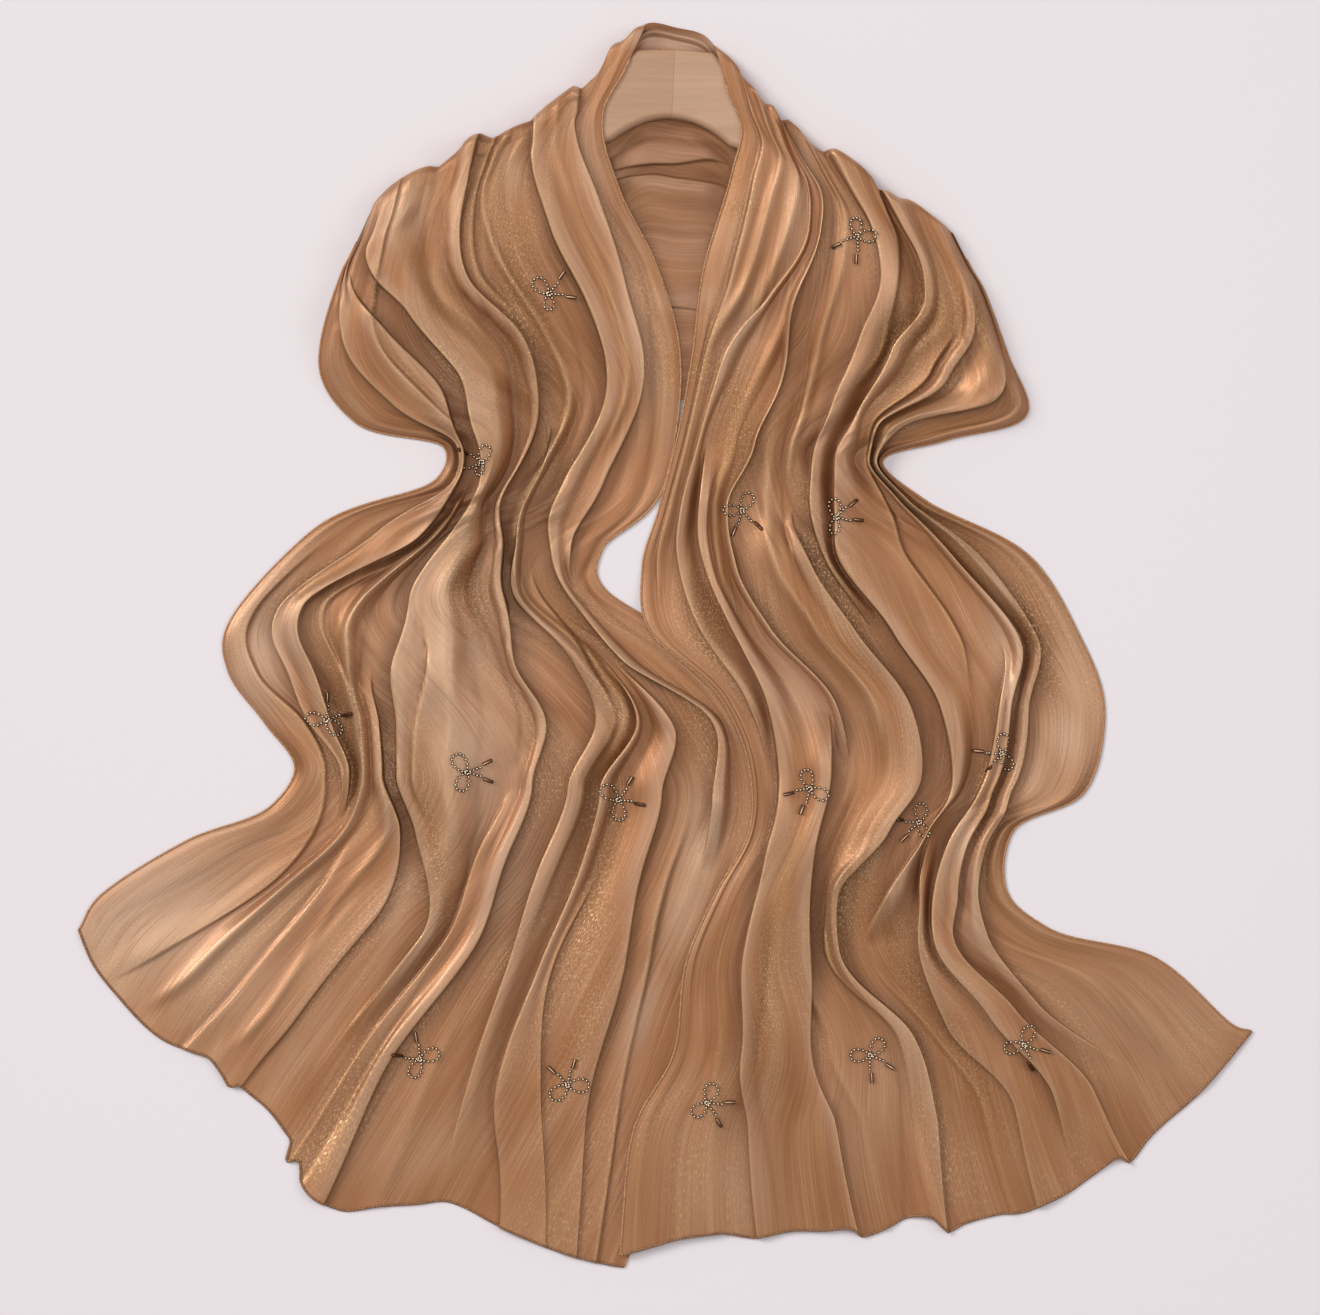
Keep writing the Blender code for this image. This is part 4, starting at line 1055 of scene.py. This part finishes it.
def stitch_piece(name, grid, finish):
    """Short thread stitches over the cut end's hem, bent down at their ends."""
    px, py = place(grid.x[-1], grid.y[-1])
    path = spread(np.stack([px, py, grid.z[-1] * MM], axis=1), STITCH_STEP * MM)
    half = STITCH_LENGTH / 2 * MM
    thick = STITCH_THICK * MM
    verts = []
    faces = []
    for j in range(1, len(path) - 1):
        along = path[j + 1] - path[j - 1]
        along[2] = 0
        along /= np.linalg.norm(along) + 1e-12
        across = np.array([-along[1], along[0], 0.0])
        lean = STITCH_LEAN * along
        a = path[j] - (across + lean) * half
        b = path[j] + (across + lean) * half
        top = path[j][2] + (HEM_RADIUS * TUBE_SQUASH + 0.35) * MM
        base = len(verts)
        for end, drop in ((a, STITCH_DROP), (path[j], 0.0), (b, STITCH_DROP)):
            height = max(top - drop * MM, 0.2 * MM)
            for shift in (-1, 1):
                verts.append((end[0] + along[0] * thick * shift, end[1] + along[1] * thick * shift,
                              height))
            verts.append((end[0], end[1], height + thick))
        for k in (0, 3):
            faces.append((base + k, base + k + 2, base + k + 5, base + k + 3))
            faces.append((base + k + 2, base + k + 1, base + k + 4, base + k + 5))
    thing = add_mesh(name, verts, faces, finish)
    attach(thing, "root")
    return thing


# The satin's tones
BASE_BROWN = (0.368, 0.154, 0.062, 1)
ROSE_BEIGE = (0.430, 0.203, 0.100, 1)
DEEP_BROWN = (0.228, 0.083, 0.024, 1)
# Painted shade in folds and hollows
PAINTED_FOLD_SHADE = (0.105, 0.036, 0.012, 1)
# Pale where few layers lie, painted highlight, and the light fine lines
PALE_SHEER_AND_HIGHLIGHT = (0.620, 0.398, 0.268, 1)
# Gold streaks, and the painted highlight along fold edges
GOLD = (0.800, 0.510, 0.230, 1)
# Painted gold glints
GLINT_GOLD = (1.0, 0.70, 0.36, 1)


class Nodes:
    """Small helper that adds and joins shader nodes."""

    def __init__(self, name):
        self.material = bpy.data.materials.new(name)
        self.material.use_nodes = True
        self.tree = self.material.node_tree
        self.shader = self.tree.nodes["Principled BSDF"]

    def add(self, kind, **settings):
        node = self.tree.nodes.new(kind)
        for key, value in settings.items():
            setattr(node, key, value)
        return node

    def join(self, source, target):
        self.tree.links.new(source, target)

    def fill(self, node, values):
        """Each of a node's inputs gets a constant, or is joined to another node's output."""
        for slot, value in values.items():
            if isinstance(value, (int, float, tuple)):
                node.inputs[slot].default_value = value
            else:
                self.join(value, node.inputs[slot])

    def mapped(self, source, scale, offset=(0, 0, 0)):
        node = self.add("ShaderNodeMapping")
        self.fill(node, {"Scale": scale, "Location": offset, "Vector": source})
        return node.outputs["Vector"]

    def noise(self, vector, detail, rough):
        node = self.add("ShaderNodeTexNoise")
        self.fill(node, {"Scale": 1.0, "Detail": detail, "Roughness": rough, "Vector": vector})
        return node.outputs["Fac"]

    def range(self, value, low, high, to_low=0.0, to_high=1.0):
        node = self.add("ShaderNodeMapRange")
        node.interpolation_type = "SMOOTHSTEP"
        self.fill(node, {"From Min": low, "From Max": high, "To Min": to_low, "To Max": to_high,
                         "Value": value})
        return node.outputs["Result"]

    def math(self, kind, first, second):
        node = self.add("ShaderNodeMath", operation=kind)
        self.fill(node, {0: first, 1: second})
        return node.outputs["Value"]

    def mix(self, share, first, second, kind="MIX"):
        node = self.add("ShaderNodeMix", data_type="RGBA", blend_type=kind)
        self.fill(node, {0: share, 6: first, 7: second})
        return node.outputs[2]

    def over(self, colour, amount, strength, tone):
        """A tone laid over a colour, by the amount times the strength."""
        return self.mix(self.math("MULTIPLY", amount, strength), colour, tone)

    def bump(self, height, distance, strength, normal=None):
        node = self.add("ShaderNodeBump")
        self.fill(node, {"Distance": distance, "Strength": strength, "Height": height})
        if normal is not None:
            self.join(normal, node.inputs["Normal"])
        return node.outputs["Normal"]


def satin(name, glitter=1.0, contrast=1.0, tint=(1.0, 1.0, 1.0)):
    """Shimmer satin: fine lengthwise lines, pale thin places, painted glints, highlights and shade."""
    n = Nodes(name)
    grain = n.add("ShaderNodeUVMap", uv_map="grain").outputs["UV"]
    tones = n.add("ShaderNodeAttribute", attribute_name="tones")
    split = n.add("ShaderNodeSeparateColor")
    n.join(tones.outputs["Color"], split.inputs["Color"])
    rim, shade, pale_and_highlight = split.outputs[0], split.outputs[1], split.outputs[2]
    deep_and_shade = tones.outputs["Alpha"]

    lines = n.noise(n.mapped(grain, (950, 11, 1)), 2.0, 0.65)
    streak = n.noise(n.mapped(grain, (150, 9, 1)), 2.0, 0.55)
    patch = n.noise(n.mapped(grain, (34, 8, 1), (3, 1, 0)), 2.0, 0.5)
    thread = n.noise(n.mapped(grain, (2300, 420, 1)), 1.0, 0.5)
    weave = n.noise(n.mapped(grain, (3200, 3200, 1)), 1.0, 0.5)

    colour = n.mix(n.range(patch, 0.36, 0.66), BASE_BROWN, ROSE_BEIGE)
    for amount, strength, tone in (
        (n.range(patch, 0.30, 0.46, 1.0, 0.0), 0.35, DEEP_BROWN),
        # pale where few layers lie, and painted highlight
        (pale_and_highlight, 0.9, PALE_SHEER_AND_HIGHLIGHT),
        # darker where more layers lie, and painted shade
        (deep_and_shade, 0.75, DEEP_BROWN),
        (n.range(streak, 0.30, 0.50, 1.0, 0.0), 0.10, DEEP_BROWN),
        (n.range(streak, 0.52, 0.72), 0.10, GOLD),
        (n.range(lines, 0.30, 0.50, 1.0, 0.0), 0.30 * contrast, DEEP_BROWN),
        (n.range(lines, 0.52, 0.72), 0.26 * contrast, PALE_SHEER_AND_HIGHLIGHT),
        # painted shade at fold feet and in hollows
        (shade, 0.85, PAINTED_FOLD_SHADE),
        # painted gold highlight along fold edges
        (rim, 0.38, GOLD),
    ):
        colour = n.over(colour, amount, strength, tone)
    # Painted gold glints, placed along the painted highlights, the deep patches and random patches.
    zone = n.math("ADD", n.math("MULTIPLY", deep_and_shade, 0.8), n.math("MULTIPLY", rim, 0.9))
    zone = n.math("ADD", zone, n.math("MULTIPLY", n.range(patch, 0.50, 0.70, 0.06, 0.80), 0.60))
    glint = n.math("MULTIPLY", n.range(thread, 0.56, 0.64), zone)
    glint = n.math("MULTIPLY", n.math("MINIMUM", glint, 1.0), glitter)
    colour = n.over(colour, glint, 0.65, GLINT_GOLD)
    colour = n.mix(1.0, colour, tint + (1,), "MULTIPLY")
    n.join(colour, n.shader.inputs["Base Color"])
    n.join(n.range(glint, 0.0, 1.0, 0.36, 0.75), n.shader.inputs["Metallic"])
    n.join(n.range(lines, 0.3, 0.7, 0.46, 0.34), n.shader.inputs["Roughness"])
    n.shader.inputs["Specular Tint"].default_value = (1.0, 0.87, 0.74, 1)
    n.shader.inputs["Anisotropic"].default_value = 0.6
    n.shader.inputs["Sheen Weight"].default_value = 0.06
    n.shader.inputs["Sheen Roughness"].default_value = 0.35
    n.shader.inputs["Sheen Tint"].default_value = (1.0, 0.78, 0.50, 1)
    tangent = n.add("ShaderNodeTangent", direction_type="UV_MAP", uv_map="grain")
    n.join(tangent.outputs["Tangent"], n.shader.inputs["Tangent"])
    rough = n.bump(streak, 0.0006, 0.35)
    rough = n.bump(lines, 0.0004, 0.5, rough)
    rough = n.bump(weave, 0.00012, 0.35, rough)
    n.join(rough, n.shader.inputs["Normal"])
    return n.material


def hem_satin(name, dark, light):
    """The same cloth turned over and stitched, with a tight thread ripple."""
    n = Nodes(name)
    spot = n.add("ShaderNodeTexCoord").outputs["Object"]
    ripple = n.noise(n.mapped(spot, (900, 900, 900)), 2.0, 0.5)
    patch = n.noise(n.mapped(spot, (60, 60, 60)), 2.0, 0.5)
    colour = n.mix(n.range(ripple, 0.35, 0.65), dark, light)
    colour = n.over(colour, n.range(patch, 0.4, 0.6), 0.3, ROSE_BEIGE)
    n.join(colour, n.shader.inputs["Base Color"])
    n.shader.inputs["Roughness"].default_value = 0.5
    n.shader.inputs["Metallic"].default_value = 0.3
    n.shader.inputs["Specular IOR Level"].default_value = 0.25
    n.join(n.bump(ripple, 0.0005, 0.6), n.shader.inputs["Normal"])
    return n.material


def thread_finish(name):
    """Brown sewing thread, darker and lighter along its twist."""
    n = Nodes(name)
    spot = n.add("ShaderNodeTexCoord").outputs["Object"]
    twist = n.noise(n.mapped(spot, (3000, 3000, 3000)), 1.0, 0.5)
    n.join(n.mix(n.range(twist, 0.3, 0.7), (0.10, 0.045, 0.02, 1), (0.25, 0.13, 0.07, 1)),
           n.shader.inputs["Base Color"])
    n.shader.inputs["Roughness"].default_value = 0.6
    n.join(n.bump(twist, 0.0001, 0.4), n.shader.inputs["Normal"])
    return n.material


def bead_finish(name, dark, light, low, high):
    """Beads with a painted highlight where they face up and painted shade at their sides."""
    n = Nodes(name)
    facing = n.add("ShaderNodeSeparateXYZ")
    n.join(n.add("ShaderNodeTexCoord").outputs["Normal"], facing.inputs["Vector"])
    # Painted highlight on top and painted shade at the sides, set by the way the surface faces.
    n.join(n.mix(n.range(facing.outputs["Z"], low, high), dark, light), n.shader.inputs["Base Color"])
    n.shader.inputs["Metallic"].default_value = 0.3
    n.shader.inputs["Roughness"].default_value = 0.25
    n.shader.inputs["Specular IOR Level"].default_value = 0.2
    return n.material


def pale_wood(name, tone):
    """Smooth lacquered wood with a straight faint grain; tone darkens or warms it."""
    n = Nodes(name)
    spot = n.add("ShaderNodeTexCoord").outputs["Object"]
    grain = n.noise(n.mapped(spot, (16, 300, 40)), 4.0, 0.6)
    bands = n.noise(n.mapped(spot, (5, 60, 10)), 3.0, 0.5)
    pores = n.noise(n.mapped(spot, (120, 1800, 200)), 1.0, 0.5)
    colour = n.mix(n.range(bands, 0.35, 0.65), (0.50, 0.305, 0.190, 1), (0.56, 0.350, 0.225, 1))
    colour = n.over(colour, n.range(grain, 0.45, 0.65), 0.10, (0.36, 0.20, 0.11, 1))
    colour = n.over(colour, n.range(pores, 0.62, 0.75), 0.2, (0.26, 0.14, 0.08, 1))
    colour = n.mix(1.0, colour, tone + (1,), "MULTIPLY")
    n.join(colour, n.shader.inputs["Base Color"])
    n.join(n.range(grain, 0.3, 0.7, 0.42, 0.55), n.shader.inputs["Roughness"])
    n.shader.inputs["Coat Weight"].default_value = 0.15
    n.shader.inputs["Coat Roughness"].default_value = 0.3
    n.join(n.bump(grain, 0.0002, 0.3), n.shader.inputs["Normal"])
    return n.material


# Yoke outline of the left half in its own frame: x from the centre seam, y up. Its lower
# edge ends in a curved arch over the neck opening.
YOKE_TOP = ((0.0, 23.5), (-26.0, 22.0), (-40.0, 10.0), (-52.0, -7.0), (-70.0, -26.0),
            (-110.0, -57.0), (-150.0, -83.0), (-172.0, -96.0))
YOKE_END = (-184.0, -112.0)
YOKE_LOW = ((-174.0, -126.0), (-146.0, -114.0), (-110.0, -92.0), (-74.0, -66.0), (-46.0, -42.0))
ARCH_RISE = -23.5
ARCH_HALF = 42.0
ARCH_STEPS = 30
YOKE_EDGE = 4.5
# Each half is made past the seam and cut there, a fine line short of the middle
SEAM_OVERRUN = 12.0
SEAM_LINE = 0.12


def yoke_outline():
    """The left half's outline, with the arch in even steps."""
    points = list(YOKE_TOP) + [YOKE_END] + list(YOKE_LOW)
    for step in range(1, ARCH_STEPS + 1):
        share = step / ARCH_STEPS
        x = -ARCH_HALF * (1 - share)
        drop = (YOKE_LOW[-1][1] - ARCH_RISE) * (x / ARCH_HALF) ** 2
        points.append((x, ARCH_RISE + drop))
    return points


def yoke_half(name, mirror, finish, node):
    """One half of the yoke, its edges rounded over."""
    tilt_x, tilt_y = math.cos(HANGER_TILT), math.sin(HANGER_TILT)
    build = bmesh.new()
    ring = []
    for x, y in yoke_outline():
        x = (x if x < 0 else SEAM_OVERRUN) * mirror
        px, py = place(x * tilt_x - y * tilt_y + HANGER_CENTRE[0],
                       x * tilt_y + y * tilt_x + HANGER_CENTRE[1])
        ring.append(build.verts.new((px, py, HANGER_LIFT * MM)))
    face = build.faces.new(ring)
    lifted = bmesh.ops.extrude_face_region(build, geom=[face])
    top = [item for item in lifted["geom"] if isinstance(item, bmesh.types.BMVert)]
    bmesh.ops.translate(build, verts=top, vec=(0, 0, HANGER_THICK * MM))
    bmesh.ops.recalc_face_normals(build, faces=build.faces)
    rims = [edge for edge in build.edges if abs(edge.verts[0].co.z - edge.verts[1].co.z) < 1e-7]
    bmesh.ops.bevel(build, geom=rims, offset=YOKE_EDGE * MM, segments=4, profile=0.5, affect="EDGES",
                    clamp_overlap=True)
    across = Vector((tilt_x, tilt_y, 0)) * mirror
    seam = Vector((*place(*HANGER_CENTRE), 0)) - across * (SEAM_LINE / 2 * MM)
    everything = list(build.verts) + list(build.edges) + list(build.faces)
    bmesh.ops.bisect_plane(build, geom=everything, dist=1e-7, plane_co=seam, plane_no=across,
                           clear_outer=True)
    bmesh.ops.holes_fill(build, edges=[edge for edge in build.edges if edge.is_boundary], sides=0)
    thing = add_built(name, build, finish)
    thing.data.set_sharp_from_angle(angle=math.radians(60))
    sharp = thing.modifiers.new("crisp faces", "WEIGHTED_NORMAL")
    sharp.keep_sharp = True
    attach(thing, "root")
    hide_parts(node)
    return thing


def surface(things):
    """A tree for finding the cloth's height under a plan point."""
    verts = []
    faces = []
    for thing in things:
        base = len(verts)
        verts.extend(v.co.copy() for v in thing.data.vertices)
        faces.extend(tuple(i + base for i in p.vertices) for p in thing.data.polygons)
    return BVHTree.FromPolygons(verts, faces)


def drop_to(tree, x, y):
    """The cloth's point and normal under a plan point in layout mm, both in metres."""
    px, py = place(x, y)
    hit, normal, _, _ = tree.ray_cast(Vector((px, py, 0.08)), Vector((0, 0, -1)))
    if hit is None:
        return Vector((px, py, REST * MM)), Vector((0, 0, 1))
    return hit, normal if normal.z > 0 else -normal


def loop_points(knot_x, knot_y, turn, size):
    """Bead centres round one loop that starts and ends at the knot."""
    count = max(10, int(round((size * 2.55) / BEAD_STEP)))
    points = []
    for step in range(count):
        t = 2 * math.pi * (step + 0.5) / count
        a = size / 2 * (1 - math.cos(t)) + 0.8
        b = size * LOOP_WIDTH / 2 * math.sin(t) * (0.55 + 0.45 * math.sin(t / 2) ** 2)
        points.append((knot_x + a * math.cos(turn) - b * math.sin(turn),
                       knot_y + a * math.sin(turn) + b * math.cos(turn)))
    return points


def add_rod(build, ends):
    """A tube bead between two points, kept near its own length where they lie far apart."""
    axis = ends[1] - ends[0]
    if axis.length > BAR_LENGTH * 1.5 * MM:
        axis = axis.normalized() * BAR_LENGTH * MM
    turnover = Vector((0, 0, 1)).rotation_difference(axis.normalized()).to_matrix().to_4x4()
    made = bmesh.ops.create_cone(build, cap_ends=True, segments=10, radius1=BAR_THICK / 2 * MM,
                                 radius2=BAR_THICK / 2 * MM, depth=axis.length)
    bmesh.ops.rotate(build, verts=made["verts"], cent=(0, 0, 0), matrix=turnover)
    bmesh.ops.translate(build, verts=made["verts"], vec=ends[0] + axis / 2)


def bow_pieces(tree, bead, bar):
    """All the bows: one joined mesh of round beads and one of tube beads."""
    ball = bmesh.new()
    rods = bmesh.new()
    for bow in BOWS:
        kx, ky = from_photo(bow.at_px, bow.at_py)
        spots = loop_points(kx, ky, math.radians(bow.loop_a), bow.size_a)
        spots += loop_points(kx, ky, math.radians(bow.loop_b), bow.size_b)
        spots += [(kx + x, ky + y) for x, y in KNOT_BEADS]
        for turn, bend in ((bow.tail_a, -TAIL_BEND), (bow.tail_b, TAIL_BEND)):
            bend = math.radians(turn + bend)
            turn = math.radians(turn)
            for step in range(TAIL_BEADS):
                reach = TAIL_START + step * BEAD_STEP
                spots.append((kx + reach * math.cos(bend), ky + reach * math.sin(bend)))
            start = TAIL_START + TAIL_BEADS * BEAD_STEP - 0.3
            ends = []
            for reach in (start, start + BAR_LENGTH):
                hit, normal = drop_to(tree, kx + reach * math.cos(turn), ky + reach * math.sin(turn))
                ends.append(hit + normal * (BAR_THICK * 0.55 * MM))
            add_rod(rods, ends)
        for x, y in spots:
            hit, normal = drop_to(tree, x, y)
            made = bmesh.ops.create_icosphere(ball, subdivisions=2, radius=BEAD / 2 * MM)
            bmesh.ops.translate(ball, verts=made["verts"], vec=hit + normal * (BEAD * 0.42 * MM))
    for name, build, finish in (("bow_beads", ball, bead), ("bow_tube_beads", rods, bar)):
        thing = add_built(name, build, finish)
        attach(thing, "root")
    rounded = thing.modifiers.new("rounded rims", "BEVEL")
    rounded.width = 0.25 * MM
    rounded.segments = 2
    rounded.limit_method = "ANGLE"


def floor():
    """The pale surface that the scarf lies on, as stage."""
    n = Nodes("pale_floor")
    n.shader.inputs["Base Color"].default_value = (0.83, 0.775, 0.800, 1)
    n.shader.inputs["Roughness"].default_value = 0.9
    corners = [(x * FLOOR_HALF, y * FLOOR_HALF, 0) for x, y in ((-1, -1), (1, -1), (1, 1), (-1, 1))]
    thing = add_mesh("floor", corners, [(0, 1, 2, 3)], n.material)
    thing.location.z = -0.0003


def add_light(name, kind, strength, colour, spot, way):
    """A lamp at a spot, shining along a direction."""
    data = bpy.data.lights.new(name, kind)
    data.energy = strength
    data.color = colour
    thing = add_object(name, data)
    thing.location = spot
    thing.rotation_euler = Vector(way).to_track_quat("-Z", "Y").to_euler()
    return data


def area_light(name, spot, side, power, colour):
    """A square lamp that faces the middle of the scene."""
    data = add_light(name, "AREA", power, colour, spot, -Vector(spot))
    data.shape = "RECTANGLE"
    data.size = side
    data.size_y = side


def far_light(name, way, strength, spread_degrees, colour):
    """A broad lamp far away, so that the floor stays even."""
    data = add_light(name, "SUN", strength, colour, Vector(way) * 3, -Vector(way))
    data.angle = math.radians(spread_degrees)


def camera():
    """Straight down at the photograph's angle and framing."""
    data = bpy.data.cameras.new("photo camera")
    data.sensor_fit = "HORIZONTAL"
    data.sensor_width = SENSOR
    data.lens = SENSOR * CAMERA_HEIGHT / (PHOTO_SIZE[0] * PHOTO_MM * MM)
    thing = add_object("photo camera", data)
    thing.location = (*place(0.0, 0.0), CAMERA_HEIGHT)
    bpy.context.scene.camera = thing


def world():
    """An even, almost white surrounding."""
    made = bpy.data.worlds.new("studio")
    bpy.context.scene.world = made
    made.use_nodes = True
    made.node_tree.nodes["Background"].inputs["Color"].default_value = (1.0, 0.985, 1.0, 1)
    made.node_tree.nodes["Background"].inputs["Strength"].default_value = 0.36


def main():
    left = Sheet(LEFT_STATIONS, LEFT_FOLDS, LEFT_CREASES, side=1, rows=298, across=312,
                 shelf_full=20.0, shelf_gone=60.0, edge_rise=2.2, seed=11,
                 hem=LEFT_HEM, hem_sag=LEFT_HEM_SAG)
    right = Sheet(RIGHT_STATIONS, RIGHT_FOLDS, RIGHT_CREASES, side=-1, rows=298, across=312,
                  shelf_full=48.0, shelf_gone=95.0, edge_rise=2.2, seed=23,
                  hem=RIGHT_HEM, hem_sag=RIGHT_HEM_SAG)
    back = Sheet(BACK_STATIONS, BACK_FOLDS, BACK_CREASES, side=1, rows=170, across=180,
                 shelf_full=8.0, shelf_gone=45.0, edge_rise=0.6, seed=37, hem=NO_HEM, hem_sag=0.0)
    satin_front = satin("camel_satin_front")
    satin_back = satin("camel_satin_inner", 0.0, 0.45, (0.87, 0.87, 0.92))
    hem_finish = hem_satin("camel_hem", (0.20, 0.090, 0.040, 1), (0.40, 0.215, 0.110, 1))
    selvage = hem_satin("camel_selvage", (0.34, 0.155, 0.066, 1), (0.56, 0.330, 0.180, 1))
    thread = thread_finish("hem_thread")
    left_points = front_grid(left, LEFT_SHOULDER)
    right_points = front_grid(right, RIGHT_SHOULDER)
    left_cloth = cloth_piece("left_front_cloth", left_points, satin_front, "left_front")
    right_cloth = cloth_piece("right_front_cloth", right_points, satin_front, "right_front")
    back_cloth = cloth_piece("back_stretch_cloth", flat_grid(back), satin_back, "back_stretch")
    left_edges = edge_pieces("left", left_points, hem_finish, selvage)
    right_edges = edge_pieces("right", right_points, hem_finish, selvage)
    left_stitch = stitch_piece("left_hem_stitches", left_points, thread)
    right_stitch = stitch_piece("right_hem_stitches", right_points, thread)
    yoke_half("yoke_left", 1, pale_wood("pale_wood_left", (0.90, 0.83, 0.76)), "hanger_left")
    yoke_half("yoke_right", -1, pale_wood("pale_wood_right", (0.98, 0.95, 0.90)), "hanger_right")
    bead_bronze = bead_finish("bead_bronze", (0.040, 0.013, 0.006, 1), (1.0, 0.78, 0.55, 1),
                              0.80, 0.95)
    bar_gold = bead_finish("bar_gold", (0.080, 0.030, 0.013, 1), (0.74, 0.47, 0.29, 1), 0.93, 1.0)
    bow_pieces(surface([left_cloth, right_cloth]), bead_bronze, bar_gold)
    floor()
    world()
    area_light("overhead", (-0.3, 0.4, 2.4), 1.6, 17.0, (1.0, 0.99, 0.98))
    far_light("key from the upper left", (-0.80, 0.50, 0.62), 1.70, 22, (1.0, 0.985, 0.965))
    far_light("fill from the right", (0.85, 0.10, 0.60), 0.50, 30, (1.0, 0.985, 0.975))
    bpy.context.scene.view_settings.view_transform = "Standard"
    camera()


main()
